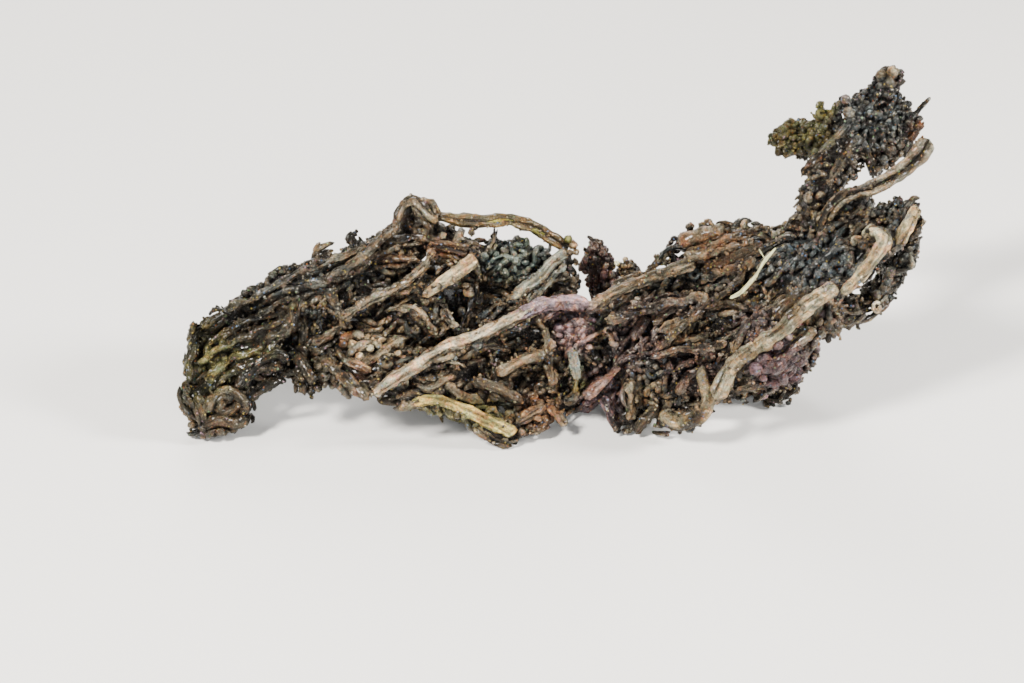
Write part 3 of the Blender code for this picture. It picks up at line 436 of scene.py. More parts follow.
# Each rib: half width (or one at each end), lift over the face, thickness, and its route
LEFT_RIBS = [
    ((0.66, 0.8), 1, 0.7, [(37.2, 39.5), (38.4, 38.6), (41, 37), (43.4, 35.5), (44.8, 34.7),
     (47.4, 33.9), (50, 32.6), (52.4, 31.4), (54, 30.8)], (0.19, 0.155, 0.12)),
    ((0.7, 0.85), 1.2, 0.6, [(51.2, 31.8), (53, 31), (55, 30.3), (57, 30.2),
     (58.8, 30.8)], (0.16, 0.105, 0.125)),
    ((0.3, 0.45), 0.8, 0.5, [(51.6, 32.8), (54, 31.8), (56.4, 31.6), (58, 31.9)], VIOLET),
    ((0.55, 0.45), 0.8, 0.8, [(34, 31.9), (35.7, 30.8), (37.5, 29.8), (40.2, 28.5), (42.1, 26.9),
     (43, 25.6), (43.4, 24.8)]),
    ((0.5, 0.95), 0.8, 0.7, [(42.3, 29.6), (43.4, 28.8), (44.8, 27.8), (46.2, 26.8),
     (47.6, 25.7)], TAN, CREAM),
    (0.5, 0.6, 0.7, [(40, 22.1), (38.1, 24.1), (36.1, 25.8), (34.4, 26.9), (32.4, 28), (30, 28.6),
     (28.2, 29.2)]),
    (0.35, 0.5, 0.7, [(40.3, 24.4), (38.6, 25.2), (36.4, 26.6), (34.8, 27.4)]),
    ((0.5, 0.62), 0.5, 0.8, [(39.5, 23.2), (39.8, 21.6), (40.5, 20.3), (41.4, 20), (42.4, 20.8),
     (43, 21.6), (43.6, 21.9)]),
    ((0.45, 0.6), 0.5, 0.6, [(41.2, 20.4), (41.9, 21.4), (42.6, 22.2), (43.4, 22.4)]),
    (0.45, 0.3, 0.9, [(38.4, 24.2), (40.2, 23.9), (42, 23.6), (44, 24.2)]),
    (0.52, 0.6, 0.8, [(29.5, 30.9), (28.7, 32.8), (27.1, 33.9), (25, 35.1), (23, 36.1),
     (20.7, 37.9)]),
    (0.45, 0.5, 0.7, [(28.4, 33.6), (26, 35.8), (24, 36.8), (21.8, 38.2), (20.3, 38.9)]),
    (0.6, 0.9, 0.6, [(28.8, 36.2), (27.9, 35.4), (26.1, 36.1), (24.6, 37.4), (23.8, 38.8)]),
    (0.42, 0.7, 0.7, [(28.1, 36.9), (26.4, 36.7), (25, 37.6), (24.4, 38.7)]),
    (0.45, 0.5, 0.8, [(28.4, 38), (26.6, 38.6), (24.8, 39.6), (23.4, 40.2)]),
    ((0.35, 0.8), 1, 0.35, [(34, 31), (33.4, 30.2), (32.7, 29)]),
    ((0.3, 0.6), 0.8, 0.5, [(38.4, 32.9), (37, 32.9), (35.6, 32.6)]),
    (0.38, 0.7, 0.8, [(36.9, 26.3), (38.6, 25.9), (40.2, 26), (41.6, 26)]),
    (0.36, 0.6, 0.8, [(37.2, 27), (39, 26.7), (41, 26.7)]),
    ((0.5, 0.7), 0.6, 0.6, [(43.2, 24.4), (44.8, 24.7), (46.8, 25.2)]),
    (0.4, 0.1, 0.8, [(36.6, 24.5), (33.5, 26), (30, 27.2), (27, 28.9), (23, 31), (20.4, 32.6)]),
    (0.42, 0.4, 0.7, [(36, 25.4), (33, 26.6), (30.2, 27.9), (27.4, 29.6), (24.6, 31)]),
    (0.5, 0.1, 0.8, [(19.3, 33.8), (19.1, 36), (18.9, 38.4)]),
    (0.42, 0.5, 0.7, [(20.5, 35.6), (24, 34.1), (27, 32.6), (29.4, 31.8)]),
    (0.38, 0.5, 0.8, [(22, 33.4), (25, 32), (28.6, 31)]),
    (0.36, 0.4, 0.8, [(20.6, 34.4), (23, 32.9), (26.4, 31.2), (28, 30)]),
    (0.36, 0.4, 0.8, [(27.4, 30.4), (30, 29.6), (32.2, 28.9)]),
    ((0.6, 0.45), 0.5, 0.9, [(29.9, 31.6), (30.3, 33), (30.2, 34.6)]),
    (0.62, 0.4, 0.8, [(29.6, 35.4), (30.6, 37), (31.4, 38.2)]),
    (0.58, 0.4, 0.8, [(32.2, 35.6), (33.4, 36.9), (35, 38.2), (36.7, 39.9)]),
    (0.42, 0.5, 0.8, [(31, 34.4), (33, 33.5), (35, 32.2)]),
    (0.48, 0.5, 0.8, [(36.2, 36.6), (38.2, 35.2), (40.4, 33.6)]),
    (0.42, 0.5, 0.8, [(38.4, 31.2), (40.6, 30.6), (42.4, 31.6), (43.6, 33.4)]),
    (0.45, 0.5, 0.8, [(33.6, 35), (34.6, 36.2), (37, 37.2)]),
    ((0.5, 0.72), 1, 0.7, [(41, 40.2), (43.6, 40.1), (46.4, 41), (49, 42.2),
     (51.3, 43.4)], (0.15, 0.12, 0.044)),
    (0.5, 0.5, 0.8, [(47.4, 42.6), (49.2, 44), (51.2, 44.5)]),
    (0.45, 0.7, 0.9, [(44.6, 38.2), (46.4, 39.6), (48.4, 40.2)]),
    (0.65, 0.7, 0.8, [(47.3, 38.1), (50, 39), (52.1, 40.1)]),
    (0.6, 0.6, 0.8, [(49.6, 37.5), (52, 36.2), (54.6, 35.5)]),
    (0.6, 1, 0.7, [(51.2, 29.8), (53.6, 27.9), (55.7, 25.9), (56.5, 25.4)], (0.15, 0.14, 0.115)),
    (0.48, 0.7, 0.7, [(53, 30.2), (55, 28), (56.6, 26.5)], (0.11, 0.11, 0.1)),
    (0.26, -0.2, 0.8, [(46.5, 32.8), (47.3, 30.4), (47.7, 28.2)], BROWN),
    (0.24, 0.7, 0.8, [(18, 39.2, 0.4), (19.2, 38, 0.4), (20.4, 36.9, 0.2)], VERDIGRIS),
    (0.42, 0.6, 0.9, [(44.2, 30.9), (44.8, 31.8), (45.5, 33)]),
    (0.6, 0.4, 0.9, [(51.6, 42.4), (53, 41.4), (54.5, 40.6)]),
    (0.5, 0.4, 0.9, [(54.9, 40.6), (55.6, 41.6), (56.4, 42.6)]),
    (0.4, 0.8, 0.8, [(54.5, 32.8), (54.9, 35.2), (55.2, 38.6)]),
    ((0.66, 0.45), 1, 0.7, [(57.1, 34.9), (57.5, 36.6), (57.8, 38)], (0.15, 0.16, 0.15)),
    (0.5, 0.5, 0.8, [(56.2, 40.2), (58.6, 39.2)]),
    (0.45, 0.5, 0.9, [(45.8, 35.8), (48.6, 34.8), (51, 34.8)]),
    (0.42, 0.5, 0.9, [(41.4, 38.4), (43.4, 38.6), (45.4, 37.4)]),
    (0.7, 0.8, 0.8, [(20.6, 41.2), (21.2, 39.8), (22.6, 39.2), (24.2, 39.8), (24.8, 41.4)]),
    (0.65, 0.5, 0.8, [(20, 42.8), (21.6, 42), (23.4, 42.2), (24.8, 41.8)]),
    (0.6, 0.3, 0.8, [(19.6, 39.4), (20, 41.4), (20.6, 43.2)]),
]
RIGHT_RIBS = [
    ((0.6, 0.75), 0.9, 0.6, [(58.4, 31), (60.2, 30), (62, 29), (64, 28.2), (66.4, 27.3),
     (69.6, 26.2)]),
    ((0.4, 0.7), 0.7, 0.4, [(59.8, 31.6), (61.4, 30.6), (63.2, 29.2)]),
    (0.55, 0.7, 0.6, [(60.6, 31.9), (62.4, 31.7), (64.6, 31), (67.4, 30.2), (70.8, 29.8)]),
    (0.4, 0.6, 0.8, [(70, 24.9), (72, 24.2), (75, 23.2), (76.9, 22.9)]),
    (0.45, 0.5, 0.8, [(70.4, 25.5), (73, 24.9), (75.4, 23.9)]),
    ((0.5, 0.8), 0.5, 0.4, [(70.2, 27.2), (73.2, 25.9), (76.4, 24.7)]),
    (0.55, 0.4, 0.5, [(70, 28), (72.6, 27.2), (75.4, 26)]),
    (0.4, 0.7, 0.6, [(72.7, 29.3), (74, 27.9), (74.3, 26.6)]),
    (0.42, 0.9, 0.7, [(65.3, 35.4), (67.6, 33.4), (70, 31.2), (72, 29.6), (73.2, 28.9)]),
    (0.42, 0.9, 0.8, [(65, 35.8), (67.6, 35.1), (70.6, 34.8), (72.5, 34.4)]),
    ((0.3, 0.62), 0.9, 0.45, [(65.4, 32.6), (66.3, 31.5), (67.6, 30.8)]),
    (0.5, 0.8, 0.8, [(66, 33.2), (67.6, 32.4), (69, 31.6)]),
    (0.6, 0.7, 0.6, [(63.3, 34), (63.8, 32.8), (64.8, 31.8)]),
    (0.42, 0.6, 0.9, [(66.6, 34.2), (68.4, 33.8), (70.6, 33.6)]),
    (0.45, 0.7, 0.9, [(70.6, 30.8), (72.4, 30.4), (74.6, 30.8)]),
    (0.42, 0.6, 0.9, [(67.6, 37), (69.4, 36.2), (71.4, 35.8)]),
    (0.45, 0.6, 0.9, [(73.4, 34), (74.6, 32.4), (76.2, 31.4)]),
    (0.6, 0.6, 0.6, [(77.2, 31.8), (78.6, 30.4), (80.4, 29)]),
    (0.42, 0.5, 0.8, [(76.4, 28.6), (78.4, 26.8), (80.6, 25.4)]),
    (0.42, 0.5, 0.8, [(74.4, 26), (77, 24.6), (79.6, 23.4)]),
    (0.42, 0.6, 0.8, [(80.2, 27.8), (82.4, 25.8), (84.6, 24.2)]),
    ((0.85, 0.78), 1.3, 0.75, [(71.6, 39.9), (72.4, 38.1), (73.7, 36.2), (75.4, 34.8), (77, 33.8),
     (78.4, 32.8), (79.9, 31.4), (81.2, 30.2), (82.4, 29.4), (83.6, 28.6)], (0.13, 0.1, 0.068),
     (0.16, 0.13, 0.09)),
    ((0.6, 0.75), 1.4, 0.85, [(84.2, 29.5), (86, 27.6), (87.5, 25.6, 0.2), (88.4, 24.2, 0.6),
     (88.1, 23.4, 0.9), (87.1, 23.2, 0.9), (86.4, 23.8, 0.6)], (0.17, 0.14, 0.095)),
    ((0.65, 0.6), 1.2, 0.8, [(89.6, 24.6), (90.6, 22.9), (91.4, 21.4, 0.1),
     (91.9, 20.7, 0.2)], (0.13, 0.1, 0.06)),
    (0.45, 0.2, 0.9, [(90.9, 24), (92.4, 22.2)]),
    ((0.66, 0.9), 1.5, 0.85, [(70.2, 36.6), (70.4, 38.4), (70.7, 40), (70, 41.5), (68.5, 42.3),
     (67, 42), (66.3, 41.2)], (0.13, 0.1, 0.064)),
    ((0.3, 0.55), 1.2, 0.5, [(69.9, 36.7), (68.7, 37.9), (67.8, 39.5)]),
    (0.5, 0.7, 0.9, [(65.8, 40.8), (64.6, 41.8), (63.5, 43.4)]),
    (0.5, 0.6, 0.9, [(62.6, 38), (62.9, 39.6), (63, 41.9)]),
    ((0.85, 0.4), 1.5, 0.45, [(58.4, 39.9), (59.8, 38.7), (61.2, 37.4),
     (61.9, 36.6)], (0.1, 0.06, 0.055), VIOLET),
    (0.45, 0.8, 0.9, [(60.3, 39.6), (61, 41.2), (61.7, 43)]),
    (0.6, 0.2, 0.9, [(75.2, 37.4), (77.4, 36.4), (79.4, 34.6), (81.5, 32.8)]),
    (0.5, 0.1, 0.9, [(73.5, 39.2), (75.2, 38.6), (76.6, 38)]),
]
BACK_RIBS = [
    (0.8, 0.9, [(68.4, 25.6, 14.6), (70.6, 25.2, 14.4), (73.4, 24.6, 14)]),
    ((0.95, 0.75), 0.9, [(67.9, 24.4, 16.2), (69.1, 23.8, 16), (70.9, 23.3, 15.6),
     (72.6, 22.9, 15.2)], 0.35),
    (0.5, 0.8, [(69, 24.6, 15.8), (71, 23.9, 15.4), (74, 23.3, 14.4), (76.6, 23.2, 13.4)]),
    (0.62, 0.9, [(59.6, 29.6, 17.2), (59.4, 27.4, 17.6), (59.7, 25.4, 17.6)]),
    (0.38, 0.9, [(62, 27.3, 16.6), (63.4, 27.5, 15.6), (64.8, 27.8, 15)]),
    (0.42, 0.9, [(64.8, 27.4, 15.6), (65.5, 26.4, 15.9), (66.2, 25.7, 16)]),
]
FACING = {
    "left": Vector((0, -0.86, 0.52)),
    "right": Vector((0, -0.7, 0.72)),
    "tower": Vector((0, -0.8, 0.6)),
}


def grooved_ring(count, thick, pick, groove=0.0, relief=1.0):
    """A closed curve for the section of a rib, with a few grooves at random places round it."""
    grooves = [
        (pick.uniform(0, math.tau), pick.uniform(0.12, 0.3), pick.uniform(0.08, 0.3) * relief)
        for _ in range(8)]
    if groove:
        grooves.append((math.pi / 2, 0.42, groove))
    curve = bpy.data.curves.new("ring", "CURVE")
    spline = curve.splines.new("POLY")
    spline.points.add(count - 1)
    spline.use_cyclic_u = True
    for n, point in enumerate(spline.points):
        angle = math.tau * n / count
        reach = 1.0
        for at, wide, deep in grooves:
            away = abs((angle - at + math.pi) % math.tau - math.pi)
            reach -= deep * math.exp(-((away / wide) ** 2))
        point.co = (reach * math.cos(angle), reach * thick * math.sin(angle), 0, 1)
    ring = bpy.data.objects.new("ring", curve)
    bpy.context.scene.collection.objects.link(ring)
    return ring


def smooth_route(places, step):
    """Points at even steps along a smooth curve through the places."""
    points = [places[0] * 2 - places[1], *places, places[-1] * 2 - places[-2]]
    dense = []
    for n in range(1, len(points) - 2):
        p, q, r, s = points[n - 1:n + 3]
        for k in range(12):
            t = k / 12
            dense.append(0.5 * (q * 2 + (r - p) * t + (p * 2 - q * 5 + r * 4 - s) * t * t
                                + (q * 3 - p - r * 3 + s) * t ** 3))
    dense.append(places[-1])
    even, carried = [dense[0]], 0.0
    for near, far in zip(dense, dense[1:]):
        gap = (far - near).length
        while carried + gap >= step:
            near = near.lerp(far, (step - carried) / gap)
            even.append(near)
            gap = (far - near).length
            carried = 0.0
        carried += gap
    return even + [dense[-1]]


rib_lines = []


def rib(
        places, half_width, thick, facing, pick, tone, step=0.3 * MM, groove=0.0, own_tone=False,
        relief=1.0):
    """A grooved, flattened wire through the places, its broad side turned to facing.

    Gives vertex places, faces, colours and grain; the colours carry painted shade and light,
    darker in the grooves and underneath, lighter on ridges and lumps. Its line guides the small
    growth. A thin one is knobbly, a broad one smoother, and one of its own tone takes none of the
    patches. A low relief makes a worn one."""
    line = smooth_route(places, step)
    count = len(line)
    start_width, end_width = half_width if isinstance(half_width, tuple) else (half_width, half_width)
    knobbly = max(start_width, end_width) < 0.6
    turn = facing.normalized().rotation_difference(Vector((0, 0, 1)))
    back = turn.inverted()
    ring = grooved_ring(30 if max(start_width, end_width) > 0.5 else 22, thick, pick, groove, relief)
    curve = bpy.data.curves.new("rib", "CURVE")
    curve.dimensions = "3D"
    curve.twist_mode = "Z_UP"
    curve.bevel_mode = "OBJECT"
    curve.bevel_object = ring
    curve.use_fill_caps = True
    spline = curve.splines.new("POLY")
    spline.points.add(count - 1)
    shift = pick.uniform(0, 100)
    waver = (0.3 if knobbly else 0.13) * MM
    slim = pick.uniform(0.7, 1.15), pick.uniform(0.7, 1.15)
    swell = pick.uniform(0.35, 0.6) if knobbly else pick.uniform(0.12, 0.25)
    radii = []
    way = places[-1] - places[0]
    for n, (point, place) in enumerate(zip(spline.points, line)):
        along = n / (count - 1)
        width = (start_width + (end_width - start_width) * along) * MM
        to_end = min(n, count - 1 - n) * step / width / 1.2
        round_end = math.sqrt(max(0.01, 1 - max(0.0, 1 - to_end) ** 2))
        body = 1 - (1 - slim[0]) * max(0, 1 - along * 4) - (1 - slim[1]) * max(0, 1 - (1 - along) * 4)
        lumps = 1 + swell * noise.noise(Vector((shift, n * step * 800, 0)))
        sway = [noise.noise(Vector((shift + 7 * k, n * step * 450, 3))) for k in (1, 2, 3)]
        middle = place + Vector(sway) * waver
        point.co = (*(turn @ middle), 1)
        point.radius = width * round_end * body * lumps
        radii.append(point.radius / MM)
        point.tilt = 0.7 * noise.noise(Vector((shift, n * step * 140, 9)))
        rib_lines.append((middle, width * body * round_end, facing, n))
    wire = bpy.data.objects.new("rib", curve)
    bpy.context.scene.collection.objects.link(wire)
    bpy.context.view_layer.update()
    mesh = bpy.data.meshes.new_from_object(wire.evaluated_get(bpy.context.evaluated_depsgraph_get()))
    bpy.data.objects.remove(wire)
    bpy.data.objects.remove(ring)
    shape = bmesh.new()
    shape.from_mesh(mesh)
    bpy.data.meshes.remove(mesh)
    bmesh.ops.remove_doubles(shape, verts=shape.verts, dist=0.0005 * MM)
    bmesh.ops.recalc_face_normals(shape, faces=shape.faces)
    shape.normal_update()
    axis = np.array([(turn @ place)[:] for place in line])
    side = Vector((-(turn @ way).y, (turn @ way).x, 0)).normalized()
    grain, shades, moved = [], [], []
    for vert in shape.verts:
        nearest = int(np.argmin(((axis - np.array(vert.co)) ** 2).sum(axis=1)))
        spoke = (vert.co - Vector(axis[nearest])) / MM
        spot = Vector((spoke.dot(side), spoke.z, nearest * step / MM * 0.16 + shift))
        ridge = relief * (0.12 * noise.noise(spot * 2.2) + 0.07 * noise.noise(spot * 4.7))
        lump = relief * 0.15 * (noise.noise(vert.co / (0.9 * MM)) + noise.noise(vert.co / (0.4 * MM)))
        lump *= 1.6 if knobbly else 0.8
        push = (ridge + lump) * min(1.0, width / MM / 0.6)
        # Painted shade and light: the colour lightens on ridges and lumps, and darkens in the grooves and on
        # the underside
        reach = math.hypot(spoke.dot(side), spoke.z / thick) / max(radii[nearest], 0.05)
        groove_shade = min(1.0, max(0.12, (reach - 0.5) / 0.42))
        underside_shade = 0.75 + 0.25 * min(1, max(-1, vert.normal.z * 1.6))
        grain.append(spot[:])
        shades.append(min(1.4, max(0.35, 1 + 3.6 * ridge + 1.4 * lump)) * underside_shade * groove_shade)
        moved.append(vert.co + vert.normal * push * MM)
    for vert, place in zip(shape.verts, moved):
        vert.co = back @ place
        vert.co.z = max(vert.co.z, 0.01 * MM)
    co = np.array([vert.co[:] for vert in shape.verts])
    faces = [[vert.index for vert in face.verts] for face in shape.faces]
    shape.free()
    tones = np.tile(tone, (len(co), 1))
    tones = tones if own_tone else tarnished(co, tones)
    return co, faces, np.array(shades)[:, None] * tones, np.array(grain)


def joined(name, parts, material, *replaced):
    """One piece out of many parts, each (places, faces, colours, grain)."""
    faces, start = [], 0
    for co, part_faces, _, _ in parts:
        faces += [[index + start for index in face] for face in part_faces]
        start += len(co)
    places, tones, grain = (np.vstack([part[n] for part in parts]) for n in (0, 2, 3))
    mesh = bpy.data.meshes.new(name)
    mesh.from_pydata(places.tolist(), [], faces)
    painted(mesh, tones, grain)
    return shown(name, mesh, material, *replaced)


def mixed(pick, *tones):
    """A tone between two of those given, a little lighter or darker."""
    first, second = pick.choice(tones), pick.choice(tones)
    share, light = pick.random(), pick.uniform(0.75, 1.3)
    return tuple((a + (b - a) * share) * light for a, b in zip(first, second))


rib_copper = copper("rib copper", brightness=1.15)
for side, ribs, free, seed in (("left", LEFT_RIBS, [], 11), ("right", RIGHT_RIBS, BACK_RIBS, 12)):
    pick = random.Random(seed)
    parts = []
    for half_width, lift, thick, route, *own in ribs:
        places = seated([on_face(side, *point[:2], lift, *point[2:]) for point in route], lift)
        tone = mixed(pick, *(own or (TAN, TAN, BROWN)))
        parts.append(rib(places, half_width, thick, FACING[side], pick, tone, own_tone=bool(own)))
    for half_width, thick, route, *worn in free:
        places = [stand(*point) for point in route]
        tone = mixed(pick, TAN, BROWN)
        relief = worn[0] if worn else 1.0
        parts.append(rib(places, half_width, thick, FACING[side], pick, tone, relief=relief))
    joined(f"{side}_ribs", parts, rib_copper)

# The ribs of the back and the underside, which run on as the front ones do: each starts at a
# place on the lobe's solid and follows its skin, drifting a little, towards the tower.
def surface_points(solid, spacing, tries, seed, field=None):
    """Places on a solid, no two closer than the spacing, each with the outward normal there.

    A field keeps only those seen within it: across, down, half width, half height."""
    pick = np.random.default_rng(seed)
    co, faces = solid
    a, b, c = (co[faces[:, n]] for n in range(3))
    cross = np.cross(b - a, c - a)
    area = np.linalg.norm(cross, axis=1)
    chosen = pick.choice(len(faces), size=tries, p=area / area.sum())
    u, v = pick.random(tries), pick.random(tries)
    over = u + v > 1
    u[over], v[over] = 1 - u[over], 1 - v[over]
    places = a[chosen] + (b - a)[chosen] * u[:, None] + (c - a)[chosen] * v[:, None]
    normals = cross[chosen] / area[chosen][:, None]
    if field:
        across, down = seen(places)
        inside = ((across - field[0]) / field[2]) ** 2 + ((down - field[1]) / field[3]) ** 2 < 1
        inside &= (normals @ np.array(FORWARD) < 0.35) & ~in_hollow(places, normals)
        places, normals = places[inside], normals[inside]
    cells, kept = {}, []
    for n, place in enumerate(places):
        home = tuple((place // spacing).astype(int))
        near = [m for i in (-1, 0, 1) for j in (-1, 0, 1) for k in (-1, 0, 1)
                for m in cells.get((home[0] + i, home[1] + j, home[2] + k), ())]
        if not near or ((places[near] - place) ** 2).sum(axis=1).min() > spacing * spacing:
            cells.setdefault(home, []).append(n)
            kept.append(n)
    return places[kept], normals[kept]


def square_to(way, normal):
    """The way, turned square to a normal."""
    return (way - normal * way.dot(normal)).normalized()


def traced(skin, start, way, length, pick):
    """A route over a solid's skin, so many mm from a start along a way, and the side it faces."""
    place, normal, _, _ = skin.find_nearest(start)
    facing, route = normal.copy(), []
    for _ in range(int(length)):
        way = Matrix.Rotation(pick.gauss(0, 0.15), 3, normal) @ square_to(way, normal)
        last = normal
        place, normal, _, _ = skin.find_nearest(place + way * MM)
        if normal.dot(facing) < 0.35 or normal.dot(last) < 0.6:
            break
        route.append(place + normal * 0.3 * MM)
    return route, facing


for side, seed, slope in (("left", 41, 0.35), ("right", 42, 0.25)):
    pick = random.Random(seed)
    parts = []
    for start, normal in zip(*surface_points(solids[side + "_lobe"], 3.8 * MM, 4000, seed)):
        if normal @ np.array(FORWARD) < 0.15 or start[2] < 1.2 * MM:
            continue
        way = Vector((1, pick.uniform(-0.2, 0.2), slope + pick.gauss(0, 0.2)))
        route, facing = traced(skins[side + "_lobe"], Vector(start), way, pick.uniform(6, 17), pick)
        if len(route) > 4:
            width = pick.uniform(0.4, 0.75)
            widths = width, width * pick.uniform(0.7, 1.1)
            parts.append(rib(route, widths, 0.75, facing, pick, mixed(pick, TAN, TAN, BROWN)))
    joined(f"{side}_back_ribs", parts, rib_copper)

lobe_lines = len(rib_lines)

# The arch wire, which leaves the peak's loop and comes down on the far side of the hollow: one
# broad copper rib, grooved along its middle, with a gold stripe of tarnish and a forked twig.
FINE_STEP = 0.16 * MM
pick = random.Random(21)
arch_places = [stand(*point) for point in (
    (43.4, 21.6, 11.4), (44.8, 21.8, 11.2), (46.4, 22.1, 11.3), (48.6, 22.1, 11.5), (50.8, 21.9, 11.8),
    (52.6, 22.4, 12.2), (54.4, 23.3, 12.8), (55.9, 24.2, 13.3), (56.9, 24.7, 13.6))]
twigs = (
    [(48, 22.4, 11.2), (47.3, 22.9, 11), (46.9, 23.5, 10.9)], [(47.3, 22.9, 11), (47.2, 23.6, 10.9)])
stripe_places = [place - Vector((0, 0.2 * MM, 0)) for place in arch_places[2:7]]
facing = FACING["left"]
arch_brown, stripe_gold = (0.062, 0.045, 0.023), (0.12, 0.1, 0.02)
joined("arch_rib", [
    rib(arch_places, (0.72, 0.66), 0.85, facing, pick, arch_brown, groove=0.3, own_tone=True),
    rib(stripe_places, (0.22, 0.26), 0.6, facing, pick, stripe_gold, own_tone=True),
    *(rib([stand(*point) for point in route], 0.24, 0.9, facing, pick, TAN, step=FINE_STEP)
      for route in twigs),
], rib_copper, "arch_wire")

# The swept wire: the thickest free rib of the copper, deeply grooved along its length, which
# sweeps up from the tower's root and ends in the air. A thin wiggly wire lies along its start.
pick = random.Random(22)
swept_places = [stand(*point) for point in (
    (82.3, 22, 8.9), (83.4, 20.6, 8.8), (85.1, 19.5, 8.7), (87.6, 18.6, 8.7),
    (90, 17.3, 8.8), (91.8, 15.5, 9), (92.9, 13.9, 9.3))]
thin_places = [stand(*point) for point in (
    (81.6, 23.2, 8.2), (82.4, 21.4, 8.2), (83.3, 20.2, 8.2), (84.6, 19.2, 8.2), (86.2, 18.9, 8.1),
    (87.4, 18.4, 8.1))]
facing, swept_tan = Vector((0.1, -0.75, 0.65)), (0.115, 0.092, 0.068)
joined("swept_rib", [
    rib(swept_places, (0.66, 0.95), 0.9, facing, pick, swept_tan, groove=0.75, own_tone=True),
    rib(thin_places, 0.34, 0.8, facing, pick, TAN),
], rib_copper, "swept_wire")

# The tower's ribs: two grooved ones that climb its left side, with a fork, a thin barbed spike
# and a rusty leaf at its right, and the short ones round its root.
pick = random.Random(23)
TOWER_RIBS = [
    (0.5, 0.8, TAN, [(80.1, 17.5, 14.4), (81.9, 15.5, 15.2), (83.9, 13.8, 16.2), (85.4, 11.8, 17.4)]),
    ((0.5, 0.7), 0.75, TAN, [
        (82.2, 19.2, 11.6), (83.6, 17.2, 13.2), (85, 15, 14.9), (86, 13.6, 15.8)]),
    ((0.4, 0.55), 0.7, BROWN, [(86.2, 13.9, 15.9), (86.7, 15.6, 15.9), (87.2, 17.6, 15.4)]),
    ((0.3, 0.2), 0.8, SLATE, [(91, 12.2, 18.2), (92, 10.9, 18.1), (92.9, 9.8, 18)]),
    ((0.6, 0.4), 0.4, RUST, [(90.4, 14.4, 18), (91.4, 13.4, 18), (92.2, 12.4, 18)]),
    (0.4, 0.8, BROWN, [(84, 23.4, 8.6), (85, 21.9, 9), (86.3, 20.4, 9.3)]),
    (0.36, 0.8, BROWN, [(81.6, 22.2, 9.4), (82.4, 20.4, 10.4), (83.4, 18.8, 11.8)]),
    (0.42, 0.8, BROWN, [(86.6, 18.6, 13.8), (85, 19.4, 12.2), (83.6, 20.6, 10.6)]),
]
joined("tower_ribs", [
    rib([stand(*point) for point in route], half_width, thick, FACING["tower"], pick, mixed(pick, tone))
    for half_width, thick, tone, route in TOWER_RIBS], rib_copper)

# The small growth all over the copper: short knobbly worms, forked twigs, splinters, clumps and
# strings of beads, fused to the surface and lying more or less along the nearest rib. Each is a
# copy of one of a few dozen reshaped spheres, and they are set side by side in joined meshes.
guide = KDTree(len(rib_lines))
for n, entry in enumerate(rib_lines):
    guide.insert(entry[0], n)
guide.balance()


def flow(place):
    """The way the growth runs at a place: the way the ribs near it run."""
    way = Vector((0.0001, 0, 0))
    for _, n, away in guide.find_n(place, 6):
        if n + 1 < len(rib_lines) and rib_lines[n + 1][3] == rib_lines[n][3] + 1:
            leg = (rib_lines[n + 1][0] - rib_lines[n][0]).normalized()
            leg = leg if leg.x + 0.3 * leg.z > 0 else -leg
            way += leg * 0.1 / (away / MM + 0.6) ** 2
    return way.normalized()


def over_rib(place):
    """Whether a rib lies at or close before the place, so that growth there would hide it."""
    for middle, n, away in guide.find_n(place, 4):
        _, reach, facing, _ = rib_lines[n]
        depth = (place - middle).dot(facing)
        aside = (place - middle - facing * depth).length
        if aside < reach + 0.1 * MM and depth > -1.1 * MM:
            return True
    return False


def ball(around, down):
    """A sphere's (places, quads, triangles), its faces in the same order each time."""
    shape = bmesh.new()
    bmesh.ops.create_uvsphere(shape, u_segments=around, v_segments=down, radius=1.0)
    places = [vert.co.copy() for vert in shape.verts]
    faces = sorted([vert.index for vert in face.verts] for face in shape.faces)
    shape.free()
    quads, tips = (np.array([face for face in faces if len(face) == corners]) for corners in (4, 3))
    return places, quads, tips


def limb(pick, half, radius, kind, down=8):
    """A reshaped sphere along X: a worm with bulges or a grooved splinter."""
    places, quads, tips = ball(7, down)
    lobes, phase = pick.choice((2, 3, 4)), pick.uniform(0, 6)
    bend, lift = pick.uniform(-0.9, 0.9), pick.uniform(-0.3, 0.5)
    thick_end = pick.uniform(-0.3, 0.3)
    bulges = [pick.uniform(0.66, 1.2) for _ in range(12)]
    seed = Vector((pick.uniform(0, 50), 0, 0))
    flute, taper, flat = {"worm": (0.12, 0.0, 0.95), "splinter": (0.2, 0.45, 0.8)}[kind]
    co = []
    for x, y, z in places:
        around, down = math.atan2(y, x), math.acos(max(-1.0, min(1.0, z)))
        along = 0.6 * (1 - 2 * down / math.pi) + 0.4 * z
        reach = math.sin(down) ** 0.5 if abs(z) < 0.9999 else 0.0
        ring = down / math.pi * 10.99
        reach *= bulges[int(ring)] * (1 - taper * abs(along) ** 1.7)
        reach *= 1 + flute * math.cos((lobes + (kind != "worm")) * around + phase) + thick_end * along
        reach *= radius * (1 + 0.22 * noise.noise(Vector((x, y, z)) * 2.1 + seed))
        bow = 1 - along * along
        co.append((along * half, reach * math.cos(around) + bend * bow,
                   reach * math.sin(around) * flat + lift * bow))
    return np.array(co), quads, tips


def bead(pick, middle=(0, 0, 0), radius=1.0, around=8, down=6):
    """A small lumpy ball."""
    places, quads, tips = ball(around, down)
    seed = Vector((pick.uniform(0, 50), 0, 0))
    co = [place * radius * (1 + 0.35 * noise.noise(place * 1.4 + seed)) for place in places]
    return np.array([place[:] for place in co]) + np.array(middle), quads, tips


def gathered(parts):
    """Several (places, quads, triangles) as one."""
    starts = np.cumsum([0] + [len(part[0]) for part in parts])
    return (np.vstack([part[0] for part in parts]),
            np.vstack([part[1] + start for part, start in zip(parts, starts)]),
            np.vstack([part[2] + start for part, start in zip(parts, starts)]))


SPRIG_HALF = 3.5


